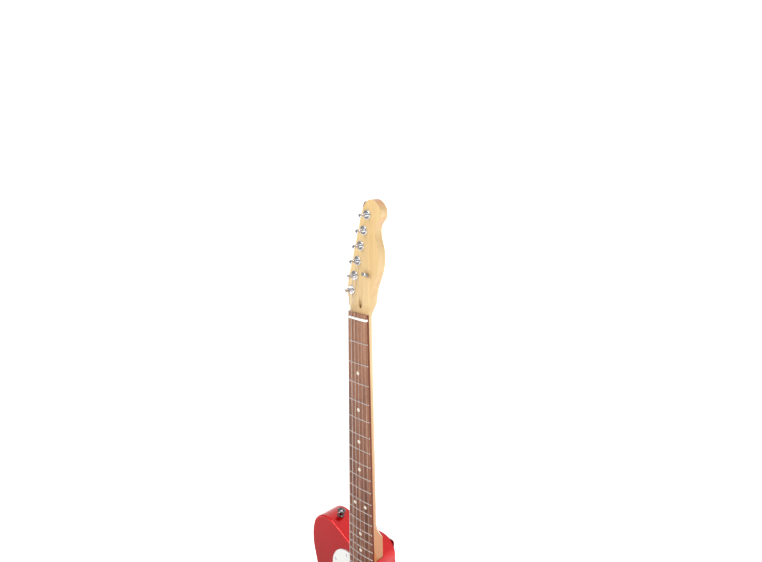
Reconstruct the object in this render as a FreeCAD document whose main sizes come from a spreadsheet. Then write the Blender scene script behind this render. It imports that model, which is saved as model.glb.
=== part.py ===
import FreeCAD, Part
import Sketcher
import math
import os

from FreeCAD import Placement, Rotation, Vector

# Solid-body, single-cutaway electric guitar with a bolted neck, hanging by its headstock.
# Every sub-part is drawn about the centre of the nut's front edge at the fingerboard's surface:
# +X to the treble side, +Y to the back, +Z towards the headstock's tip, in millimetres.
# lay() then moves it so that the origin is where a hanger's yoke carries the headstock's flare.

SIZES = [
    ("seat_height", 42.0, "hanger seat above the nut"),
    ("seat_depth", 14.6, "hanger seat behind the fingerboard's surface"),
    ("scale_length", 648.0, "nut to twelfth fret, doubled"),
    ("nut_width", 42.0, "neck width at the nut"),
    ("last_fret_width", 56.0, "neck width at the last fret"),
    ("board_thickness", 5.0, "fingerboard at its centre"),
    ("board_radius", 241.0, "curve of the playing surface"),
    ("board_past_nut", 9.5, "fingerboard above the nut"),
    ("board_length", 463.0, "nut to the fingerboard's lower end"),
    ("fret_height", 1.1, "fret crown above the board"),
    ("fret_width", 2.3, "fret crown along the neck"),
    ("tang_depth", 1.8, "fret tang below the board's surface"),
    ("tang_width", 0.6, "fret tang along the neck"),
    ("dot_radius", 3.1, "position marker on the playing surface"),
    ("side_dot_radius", 1.0, "position marker on the bass edge"),
    ("nut_thickness", 3.2, "nut along the strings"),
    ("string_spread_nut", 35.5, "outer strings at the nut"),
    ("string_spread_bridge", 52.5, "outer strings at the saddles"),
    ("headstock_face", 7.5, "headstock's front behind the board's surface"),
    ("headstock_thickness", 14.2, "headstock front to back"),
    ("neck_back_nut", 20.8, "neck's back at the nut"),
    ("neck_back_middle", 21.6, "neck's back at the seventh fret"),
    ("neck_back_heel", 22.6, "neck's back just above the heel"),
    ("heel_back", 25.0, "heel's flat back"),
    ("rod_depth", 12.8, "truss rod's axis behind the board's surface"),
    ("rod_radius", 2.9, "truss rod"),
    ("body_front", 9.0, "body's front face behind the board's surface"),
    ("body_thickness", 45.0, "body front to back"),
    ("edge_round", 3.0, "rounding of the body's edges"),
    ("neck_pocket_depth", 16.05, "neck pocket"),
    ("pickup_cavity_depth", 20.0, "both pickup cavities"),
    ("control_cavity_depth", 38.0, "control cavity"),
    ("guard_thickness", 2.2, "pickguard"),
    ("guard_gap", 0.4, "pickguard to the neck and the neck pickup"),
    ("neck_pickup_place", 487.0, "neck pickup's centre below the nut"),
    ("neck_pickup_length", 66.0, "neck pickup cover across the strings"),
    ("neck_pickup_width", 17.0, "neck pickup cover along the strings"),
    ("cover_wall", 0.8, "neck pickup cover's sheet"),
    ("bridge_pickup_place", 616.0, "bridge pickup's centre below the nut"),
    ("bridge_pickup_length", 68.0, "bridge pickup coil across the strings"),
    ("bridge_pickup_width", 19.0, "bridge pickup coil along the strings"),
    ("bridge_pickup_slant", 14.0, "slant of the bridge pickup, degrees"),
    ("bridge_top", 590.0, "bridge plate's upper edge below the nut"),
    ("bridge_length", 102.0, "bridge plate along the strings"),
    ("bridge_width", 82.0, "bridge plate across the strings"),
    ("bridge_plate_thickness", 2.0, "bridge plate's sheet"),
    ("bridge_wall_height", 10.0, "bridge plate's rear wall"),
    ("saddle_place", 650.0, "saddle crests below the nut"),
    ("saddle_width", 10.1, "saddle across the strings"),
    ("string_hole_place", 659.0, "string holes below the nut"),
    ("string_hole_radius", 1.6, "string hole through the body"),
    ("ferrule_radius", 4.0, "string ferrule's sleeve"),
    ("ferrule_flange", 4.9, "string ferrule's flange"),
    ("ferrule_length", 10.0, "string ferrule in the body's back"),
    ("control_x", 69.0, "control plate's centre line from the middle"),
    ("control_top", 578.0, "control plate's upper end below the nut"),
    ("control_length", 160.0, "control plate end to end"),
    ("control_width", 33.0, "control plate"),
    ("control_thickness", 1.6, "control plate's sheet"),
    ("switch_place", 608.5, "switch pivot below the nut"),
    ("switch_pivot_depth", 19.0, "switch pivot behind the board's surface"),
    ("volume_place", 657.0, "volume control below the nut"),
    ("tone_place", 695.0, "tone control below the nut"),
    ("pot_shaft_radius", 3.0, "control shaft"),
    ("running_gap", 0.08, "radial gap of a turning shaft"),
    ("knob_radius", 9.6, "knob over its knurls"),
    ("knob_height", 15.5, "knob"),
    ("knob_shaft_hole", 11.8, "depth of the knob's hole"),
    ("knurl_depth", 0.45, "knob's knurls"),
    ("jack_place", 700.0, "output jack below the nut"),
    ("jack_bore", 3.2, "output jack's hole, radius"),
    ("jack_cup_radius", 12.0, "jack cup's flange"),
    ("jack_rim_x", 161.3, "jack cup's seat from the middle"),
    ("button_head_radius", 7.2, "strap button's head"),
    ("button_waist_radius", 4.3, "strap button's waist"),
    ("button_height", 11.0, "strap button"),
    ("post_radius", 3.1, "tuner's string post"),
    ("post_waist_radius", 2.5, "string post where the string winds"),
    ("post_tip", -8.6, "string post's tip against the board's surface"),
    ("post_first_x", -18.2, "lowest string post from the middle"),
    ("post_first_z", 42.7, "lowest string post above the nut"),
    ("post_step_x", 7.12, "from one string post to the next, across"),
    ("post_step_z", 23.58, "from one string post to the next, along"),
    ("bushing_radius", 7.2, "tuner bushing's washer"),
    ("bushing_sleeve", 4.4, "tuner bushing's sleeve"),
    ("housing_depth", 15.0, "tuner housing behind the headstock"),
    ("key_depth", 9.8, "tuner key's axis behind the headstock"),
    ("key_reach", 28.0, "tuner key's middle from its string post"),
    ("key_shaft_radius", 2.4, "tuner key's shaft"),
    ("plate_length", 64.0, "neck plate along the neck"),
    ("plate_width", 51.0, "neck plate across the neck"),
    ("plate_place", 428.0, "neck plate's centre below the nut"),
    ("tree_x", 15.6, "string guide from the middle"),
    ("tree_z", 71.6, "string guide above the nut"),
]
FRET_COUNT = 21
STRING_COUNT = 6
MARKED_FRETS = [3, 5, 7, 9, 15, 17, 19, 21]
DOUBLE_MARKED_FRET = 12
GAUGES = [1.17, 0.91, 0.66, 0.43, 0.33, 0.25]
WOUND_STRINGS = 3
TO_FRONT = Rotation(Vector(0, 0, 1), Vector(0, -1, 0))
TO_BACK = Rotation(Vector(0, 0, 1), Vector(0, 1, 0))

doc = FreeCAD.newDocument("ElectricGuitar")
sheet = doc.addObject("Spreadsheet::Sheet", "Sizes")
for row, (alias, number, note) in enumerate(SIZES, 1):
    sheet.set(f"A{row}", note)
    sheet.set(f"B{row}", str(number))
    sheet.setAlias(f"B{row}", alias)
doc.recompute()
size = {alias: float(sheet.get(alias)) for alias, number, note in SIZES}

BODY_BACK = size["body_front"] + size["body_thickness"]
BODY_MIDDLE = size["body_front"] + size["body_thickness"] / 2
HEADSTOCK_BACK = size["headstock_face"] + size["headstock_thickness"]
ORIGIN = Vector(0, -size["seat_depth"], -size["seat_height"])
sub_parts = []


# ---- helpers ---------------------------------------------------------------------------------

def lay(sub_part, label, place=Vector(), turn=Rotation()):
    """Name a sub-part and move it from the nut's frame to the part's own."""
    sub_part.Label = label
    sub_part.Placement = Placement(ORIGIN + place, turn)
    sub_parts.append(sub_part)
    return sub_part


def solid(label, shape):
    """A sub-part whose shape is worked out in code, drawn in the nut's frame."""
    feature = doc.addObject("Part::Feature", label)
    feature.Shape = Part.makeCompound([shape])
    return lay(feature, label)


def tool(name, shape):
    """A cutting or clipping shape that isn't a sub-part itself."""
    feature = doc.addObject("Part::Feature", name)
    feature.Shape = shape
    return feature


def boolean(kind, name, base, other):
    feature = doc.addObject(kind, name)
    feature.Base = base
    feature.Tool = other
    return feature


def primitive(kind, name, bound, place=Vector(), turn=Rotation()):
    """A Part primitive whose sizes are bound to expressions on the sheet."""
    feature = doc.addObject(kind, name)
    feature.Placement = Placement(place, turn)
    for key, expression in bound.items():
        feature.setExpression(key, expression)
    return feature


def origin_plane(body, role):
    return next(plane for plane in body.Origin.OriginFeatures if plane.Role == role)


def sketch_on(body, role, offset="0"):
    """A sketch parallel to an origin plane, moved along its normal by an expression."""
    sketch = body.newObject("Sketcher::SketchObject", body.Name + "Sketch")
    sketch.AttachmentSupport = [(origin_plane(body, role), "")]
    sketch.MapMode = "FlatFace"
    sketch.setExpression("AttachmentOffset.Base.z", offset)
    return sketch


def draw_circle(sketch, centre, expression):
    index = sketch.addGeometry(Part.Circle(Vector(*centre, 0), Vector(0, 0, 1), 1.0), False)
    radius = sketch.addConstraint(Sketcher.Constraint("Radius", index, 1.0))
    sketch.setExpression(f"Constraints[{radius}]", expression)
    across = sketch.addConstraint(Sketcher.Constraint("DistanceX", -1, 1, index, 3, centre[0]))
    along = sketch.addConstraint(Sketcher.Constraint("DistanceY", -1, 1, index, 3, centre[1]))
    return index, across, along


def draw_box(sketch, low, high, bound=None):
    """A rectangle; bound maps one of left, bottom, right and top to an expression."""
    corners = [(low[0], low[1]), (high[0], low[1]), (high[0], high[1]), (low[0], high[1])]
    first = draw_polygon(sketch, corners)
    sides = {"left": ("DistanceX", first, low[0]), "bottom": ("DistanceY", first, low[1]),
             "right": ("DistanceX", first + 2, high[0]), "top": ("DistanceY", first + 2, high[1])}
    for offset, kind in enumerate(["Horizontal", "Vertical", "Horizontal", "Vertical"]):
        sketch.addConstraint(Sketcher.Constraint(kind, first + offset))
    for side, expression in (bound or {}).items():
        kind, line, number = sides[side]
        index = sketch.addConstraint(Sketcher.Constraint(kind, -1, 1, line, 1, number))
        sketch.setExpression(f"Constraints[{index}]", expression)


def draw_polygon(sketch, points):
    """Closed straight outline; returns the index of its first line."""
    first = sketch.GeometryCount
    for start, end in zip(points, points[1:] + points[:1]):
        sketch.addGeometry(Part.LineSegment(Vector(*start, 0), Vector(*end, 0)), False)
    for offset in range(len(points)):
        following = first + (offset + 1) % len(points)
        sketch.addConstraint(Sketcher.Constraint("Coincident", first + offset, 2, following, 1))
    return first


def draw_edges(sketch, edges):
    """Closed outline from curves that already meet end to end."""
    first = sketch.GeometryCount
    for edge in edges:
        sketch.addGeometry(edge, False)
    for offset in range(len(edges)):
        sketch.addConstraint(Sketcher.Constraint("Block", first + offset))


def draw_slot(sketch, centre, length, width, angle=0.0):
    """A slot with round ends, length measured end to end along the sketch's own X when angle is 0."""
    half = (length - width) / 2
    along = Vector(math.cos(math.radians(angle)), math.sin(math.radians(angle)), 0)
    side = Vector(-along.y, along.x, 0) * (width / 2)
    middle = Vector(*centre, 0)
    right = middle + along * half
    left = middle - along * half
    draw_edges(sketch, [
        Part.LineSegment(left - side, right - side),
        Part.Arc(right - side, right + along * (width / 2), right + side),
        Part.LineSegment(right + side, left + side),
        Part.Arc(left + side, left - along * (width / 2), left - side),
    ])


def pad(body, sketch, length, reverse=False, middle=False):
    feature = body.newObject("PartDesign::Pad", body.Name + "Pad")
    feature.Profile = sketch
    feature.setExpression("Length", length)
    feature.Reversed = reverse
    feature.Midplane = middle
    sketch.Visibility = False
    return feature


def pocket(body, sketch, length, reverse=False):
    """A pocket that must remove material."""
    doc.recompute()
    before = body.Shape.Volume
    feature = body.newObject("PartDesign::Pocket", body.Name + "Pocket")
    feature.Profile = sketch
    feature.setExpression("Length", length)
    feature.Reversed = reverse
    doc.recompute()
    if body.Shape.Volume > before - 1e-3:
        raise RuntimeError(f"a pocket in {body.Name} removes nothing")
    return feature


def round_edges(body, name, choose, radius):
    """Round those edges of a body that choose(edge) picks."""
    doc.recompute()
    base = body.Tip
    edges = [f"Edge{number}" for number, edge in enumerate(base.Shape.Edges, 1) if choose(edge)]
    rounding = body.newObject("PartDesign::Fillet", name)
    rounding.Base = (base, edges)
    rounding.setExpression("Radius", radius)
    return rounding


def turned(name, profile, bound=None):
    """A body of revolution about its own Z from (radius, height) points.

    bound maps (point number, "DistanceX" or "DistanceY") to an expression on the sheet.
    """
    body = doc.addObject("PartDesign::Body", name)
    sketch = sketch_on(body, "XZ_Plane")
    first = draw_polygon(sketch, profile)
    for (point, kind), expression in (bound or {}).items():
        number = profile[point][0 if kind == "DistanceX" else 1]
        index = sketch.addConstraint(Sketcher.Constraint(kind, -1, 1, first + point, 1, number))
        sketch.setExpression(f"Constraints[{index}]", expression)
    spin = body.newObject("PartDesign::Revolution", name + "Spin")
    spin.Profile = sketch
    spin.ReferenceAxis = (sketch, ["V_Axis"])
    spin.Angle = 360.0
    return body


def arc_from(start, heading, end):
    """The arc that leaves start along heading and reaches end; a line where they are in line."""
    chord = end - start
    across = heading - chord * (heading.dot(chord) / chord.dot(chord))
    if across.Length < 1e-4:
        return Part.LineSegment(start, end)
    turn = heading.getAngle(chord)
    rise = across.normalize() * (chord.Length / 2 * math.tan(turn / 2))
    return Part.Arc(start, (start + end) * 0.5 + rise, end)


def flowing(points, start, end):
    """Tangent arcs, two from each (x, z) point to the next, leaving along start and arriving along end."""
    spots = [Vector(x, z, 0) for x, z in points]
    headings = [Vector() for spot in spots]
    for index in range(1, len(spots) - 1):
        before = spots[index] - spots[index - 1]
        after = spots[index + 1] - spots[index]
        headings[index] = (before * (after.Length / before.Length)
                           + after * (before.Length / after.Length)).normalize()
    headings[0] = Vector(*start, 0).normalize()
    headings[-1] = Vector(*end, 0).normalize()
    arcs = []
    for near, far, leave, arrive in zip(spots, spots[1:], headings, headings[1:]):
        chord = far - near
        both = leave + arrive
        bend = 2 * (1 - leave.dot(arrive))
        if bend < 1e-9:
            reach = chord.dot(chord) / (4 * chord.dot(arrive))
        else:
            reach = (math.sqrt(chord.dot(both) ** 2 + bend * chord.dot(chord)) - chord.dot(both)) / bend
        joint = (near + far + (leave - arrive) * reach) * 0.5
        arcs.append(arc_from(near, leave, joint))
        arcs.append(arc_from(joint, mirrored(leave, joint - near), far))
    return arcs


def mirrored(heading, chord):
    """The direction in which an arc arrives, from the one in which it leaves and its chord."""
    along = Vector(chord).normalize()
    return along * (2 * heading.dot(along)) - heading


def cylinder(radius, start, end):
    axis = end - start
    return Part.makeCylinder(radius, axis.Length, start, axis)


def box(low, high):
    return Part.makeBox(high[0] - low[0], high[1] - low[1], high[2] - low[2], Vector(*low))


def screw(radius, length, head_radius, head_height):
    """A screw pointing down its own -Z: domed head on top with a cross recess, then a pointed shank."""
    sphere_radius = (head_radius ** 2 + head_height ** 2) / (2 * head_height)
    dome = Part.makeSphere(sphere_radius, Vector(0, 0, head_height - sphere_radius))
    head = dome.common(Part.makeCylinder(head_radius, head_height))
    point = radius * 2
    shank = Part.makeCylinder(radius, length - point, Vector(0, 0, point - length))
    tip = Part.makeCone(radius / 4, radius, point, Vector(0, 0, -length))
    recess = head_height * 0.6
    arm = head_radius * 0.6
    blade = head_radius * 0.11
    cross = box((-arm, -blade, head_height - recess), (arm, blade, head_height))
    cross = cross.fuse(box((-blade, -arm, head_height - recess), (blade, arm, head_height)))
    return head.fuse([shank, tip]).cut(cross).removeSplitter()


def placed(shape, place, turn=Rotation()):
    copy = shape.copy()
    copy.Placement = Placement(place, turn)
    return copy


def group(label, shapes):
    """Identical pieces that share one node and stay separate solids."""
    feature = doc.addObject("Part::Feature", label)
    feature.Shape = Part.makeCompound(shapes)
    return lay(feature, label)


def half_width(below_nut):
    """Half of the neck's width at a distance below the nut; it widens evenly to the last fret."""
    rise = (size["last_fret_width"] - size["nut_width"]) / 2 / fret_place(FRET_COUNT)
    return size["nut_width"] / 2 + rise * below_nut


def fret_place(number):
    """Distance of a fret below the nut; each fret takes the twelfth root of two off the string."""
    return size["scale_length"] * (1 - 2 ** (-number / 12))


def board_sag(x):
    """How far the curved playing surface falls back at a distance from its middle."""
    return size["board_radius"] - math.sqrt(size["board_radius"] ** 2 - x ** 2)


def string_x(number, spread):
    return spread * (number / (STRING_COUNT - 1) - 0.5)


def nut_point(number):
    """A string's centre over the nut."""
    x = string_x(number, size["string_spread_nut"])
    above_board = 1.6
    return Vector(x, board_sag(x) - above_board - GAUGES[number] / 2, size["nut_thickness"] / 2)


def saddle_point(number):
    """A string's centre on its saddle's crest."""
    x = string_x(number, size["string_spread_bridge"])
    above_board = 4.9
    return Vector(x, board_sag(x) - above_board - GAUGES[number] / 2, -size["saddle_place"])


def post_axis(number):
    """Where a string post's axis stands, at the board's surface level."""
    return Vector(size["post_first_x"] + number * size["post_step_x"], 0,
                  size["post_first_z"] + number * size["post_step_z"])


# The tuner keys stick out at right angles to the line of posts, on the bass side.
KEY_AXIS = Vector(-size["post_step_z"], 0, size["post_step_x"]).normalize()
POST_LINE = Vector(size["post_step_x"], 0, size["post_step_z"]).normalize()


# ---- body ------------------------------------------------------------------------------------

def body_outline():
    """The body seen from the front: straight above the neck heel, then round clockwise."""
    heel_top = -390.5
    heel_arc = 29.0
    heel_side = 30.0
    corner = 5.5
    arc_start = Vector(heel_side - heel_arc, heel_top, 0)
    arc_end = Vector(heel_side, heel_top - heel_arc, 0)
    arc_middle = arc_start + Vector(heel_arc * math.sin(math.pi / 4),
                                    heel_arc * (math.cos(math.pi / 4) - 1), 0)
    bass_side = -29.2
    notch_end = Vector(bass_side, -404.0, 0)
    side_top = Vector(bass_side, heel_top - corner, 0)
    corner_end = Vector(bass_side + corner, heel_top, 0)
    bend = corner * (1 - math.cos(math.pi / 4))
    corner_middle = Vector(bass_side + bend, heel_top - bend, 0)
    cutaway = [(31.2, -436.0), (36.5, -451.5), (48.0, -460.0), (61.0, -457.0), (70.5, -446.0),
               (79.0, -433.5)]
    horn = [(91.0, -427.0), (103.5, -431.0), (113.0, -444.0), (118.5, -466.0)]
    treble = [(117.5, -495.0), (111.5, -524.0), (108.5, -552.0), (113.5, -588.0), (128.0, -622.0),
              (147.0, -655.0), (159.5, -684.0), (161.5, -712.0), (153.0, -744.0), (132.0, -772.0)]
    tail = [(98.0, -787.5), (52.0, -794.5), (0.0, -796.0), (-52.0, -794.5), (-98.0, -787.5)]
    bass = [(-132.0, -772.0), (-153.0, -744.0), (-161.5, -712.0), (-159.5, -682.0),
            (-148.5, -650.0), (-133.0, -616.0), (-121.5, -582.0), (-118.0, -548.0),
            (-122.5, -514.0), (-131.5, -482.0), (-138.0, -450.0), (-137.0, -424.0)]
    shoulder = [(-129.0, -401.5), (-114.5, -389.0), (-98.0, -384.5), (-84.5, -386.0),
                (-70.0, -392.0), (-55.0, -399.5), (-42.0, -406.0)]
    notch_start = (-36.0, -408.3)
    points = [(arc_end.x, arc_end.y)] + cutaway + horn + treble + tail + bass + shoulder
    leaving = (0.93, -0.37)
    return [Part.LineSegment(corner_end, arc_start), Part.Arc(arc_start, arc_middle, arc_end)] + flowing(
        points + [notch_start], (0.0, -1.0), leaving) + flowing(
        [notch_start, (notch_end.x, notch_end.y)], leaving, (0.0, 1.0)) + [
        Part.LineSegment(notch_end, side_top),
        Part.Arc(side_top, corner_middle, corner_end),
    ]


def strap_seat(number):
    """Foot and direction of a strap button: on the bass shoulder, then at the tail."""
    if number == 0:
        return Vector(-84.5, BODY_MIDDLE, -386.0), Vector(0.24, 0, 0.97).normalize()
    return Vector(0, BODY_MIDDLE, -796.0), Vector(0, 0, -1)


def control_screw_places():
    inset = 6.0
    top = -size["control_top"] - inset
    bottom = -size["control_top"] - size["control_length"] + inset
    return [Vector(size["control_x"], 0, top), Vector(size["control_x"], 0, bottom)]


def bridge_screw_places():
    outer = size["bridge_width"] / 2 - 5.0
    inner = size["string_spread_bridge"] / (STRING_COUNT - 1)
    rear = -size["bridge_top"] - size["bridge_length"] + 8.0
    return [Vector(x, 0, rear) for x in (-outer, -inner, inner, outer)]


def neck_screw_places():
    across = size["plate_width"] / 2 - 6.4
    along = size["plate_length"] / 2 - 6.6
    return [Vector(x, 0, -size["plate_place"] + z) for x in (-across, across) for z in (-along, along)]


def guard_screw_places():
    return [Vector(x, 0, z) for x, z in [(-43.0, -433.0), (-72.0, -454.0), (-73.0, -494.0),
                                         (-58.0, -545.0), (-48.0, -580.5), (51.0, -580.5),
                                         (87.0, -520.0), (67.0, -474.0)]]


NECK_SCREW = (2.1, 44.0, 4.3, 2.2)
SMALL_SCREW = (1.5, 13.0, 3.0, 1.3)
BRIDGE_SCREW = (1.8, 22.0, 3.6, 1.8)
STRAP_SCREW = (1.9, 30.0, 3.6, 1.5)
TREE_SCREW = (1.2, 12.0, 2.3, 1.0)
HOLE_GAP = 0.05

# Small places that several pieces share.
HOUSING_SCREW_OUT = 9.3
NUT_SEAT = 2.6
INTONATION_Y = 2.0
INTONATION_RADIUS = 1.4
HEIGHT_SCREW_OUT = 3.4
BALL_RADIUS = 1.9


def make_body():
    blank = doc.addObject("PartDesign::Body", "BodyBlank")
    outline = sketch_on(blank, "XZ_Plane", "-Sizes.body_front")
    draw_edges(outline, body_outline())
    pad(blank, outline, "Sizes.body_thickness", reverse=True)
    round_edges(blank, "EdgeRounding", lambda edge: edge.BoundBox.YLength < 1e-3, "Sizes.edge_round")

    front = "-Sizes.body_front"
    neck_pocket = sketch_on(blank, "XZ_Plane", front)
    pocket_end = -size["board_length"] - 1.3
    wide = half_width(-pocket_end) + 0.25
    draw_box(neck_pocket, (-wide, pocket_end), (wide, -380.0))
    pocket(blank, neck_pocket, "Sizes.neck_pocket_depth")
    upper = sketch_on(blank, "XZ_Plane", front)
    draw_slot(upper, (0, -size["neck_pickup_place"]), 88.0, 24.0)
    pocket(blank, upper, "Sizes.pickup_cavity_depth")
    lower = sketch_on(blank, "XZ_Plane", front)
    draw_box(lower, (-38.5, -size["bridge_pickup_place"] - 29.0), (38.5, -size["bridge_pickup_place"] + 22.5))
    pocket(blank, lower, "Sizes.pickup_cavity_depth")
    controls = sketch_on(blank, "XZ_Plane", front)
    upper_end = -size["control_top"] - 10.0
    lower_end = 10.0 - size["control_top"] - size["control_length"]
    draw_box(controls, (size["control_x"] - 13.0, lower_end), (size["control_x"] + 13.0, upper_end))
    pocket(blank, controls, "Sizes.control_cavity_depth")
    doc.recompute()

    front_y = size["body_front"] - 1.0
    back_y = BODY_BACK + 1.0
    holes = []
    for number in range(STRING_COUNT):
        x = string_x(number, size["string_spread_bridge"])
        start = Vector(x, front_y, -size["string_hole_place"])
        holes.append(cylinder(size["string_hole_radius"], start, Vector(x, back_y, start.z)))
        seat = Vector(x, BODY_BACK - size["ferrule_length"], start.z)
        holes.append(cylinder(size["ferrule_radius"] + HOLE_GAP, seat, Vector(x, back_y, start.z)))
    for spot in neck_screw_places():
        holes.append(cylinder(NECK_SCREW[0] + HOLE_GAP, spot + Vector(0, size["heel_back"] - 2, 0),
                              spot + Vector(0, back_y, 0)))
    for spot in bridge_screw_places():
        holes.append(cylinder(BRIDGE_SCREW[0] + HOLE_GAP, spot + Vector(0, front_y, 0),
                              spot + Vector(0, front_y + BRIDGE_SCREW[1], 0)))
    for spot in guard_screw_places() + control_screw_places():
        holes.append(cylinder(SMALL_SCREW[0] + HOLE_GAP, spot + Vector(0, front_y, 0),
                              spot + Vector(0, front_y + SMALL_SCREW[1], 0)))
    for number in range(2):
        foot, axis = strap_seat(number)
        holes.append(cylinder(STRAP_SCREW[0] + HOLE_GAP, foot + axis, foot - axis * 24.0))
    rim = Vector(size["jack_rim_x"], BODY_MIDDLE, -size["jack_place"])
    holes.append(cylinder(11.0, rim + Vector(2, 0, 0), Vector(size["control_x"] + 9, rim.y, rim.z)))
    holes.append(cylinder(size["jack_cup_radius"] + 0.2, rim, rim + Vector(4, 0, 0)))
    drilled = tool("BodyHoles", Part.makeCompound(holes))
    return lay(boolean("Part::Cut", "DrilledBody", blank, drilled), "body")


# ---- neck ------------------------------------------------------------------------------------

def back_section(below_nut, wide, top, back, fullness=2.3):
    """Cross-section of the neck's wood: flat on top, a full round back below."""
    count = 12
    points = []
    for step in range(count + 1):
        angle = math.pi * step / count
        across = math.copysign(abs(math.cos(angle)) ** (2 / fullness), math.cos(angle))
        points.append(Vector(wide * across, top + (back - top) * math.sin(angle) ** (2 / fullness),
                             -below_nut))
    curve = Part.BSplineCurve()
    curve.interpolate(points)
    return Part.Wire([Part.LineSegment(points[-1], points[0]).toShape(), curve.toShape()])


def headstock_outline():
    """The headstock from the front, from the neck's bass edge round the tip to the treble edge."""
    neck_side = size["nut_width"] / 2 + 0.05
    bass = [(-21.3, 9.0), (-23.4, 18.0), (-26.9, 27.5), (-28.6, 38.0), (-27.6, 49.0), (-24.0, 65.0),
            (-17.0, 87.5), (-9.9, 111.0), (-2.9, 134.7), (3.2, 156.0), (8.0, 169.0)]
    tip = [(14.5, 178.3), (23.5, 183.0), (32.8, 181.2), (40.2, 175.2), (44.9, 166.0), (44.2, 158.0),
           (39.6, 151.5)]
    treble = [(34.8, 145.6), (32.9, 138.5), (33.3, 130.0), (35.8, 120.0), (38.6, 111.5),
              (39.9, 101.0), (39.5, 88.0), (36.6, 75.5), (32.3, 64.5), (27.2, 53.0), (23.4, 39.0),
              (21.4, 24.0)]
    start = (-neck_side, 0.5)
    end = (neck_side, 0.5)
    edge = flowing([start] + bass + tip + treble + [end], (0.0, 1.0), (0.0, -1.0))
    return edge + [Part.LineSegment(Vector(*end, 0), Vector(*start, 0))]


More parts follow.
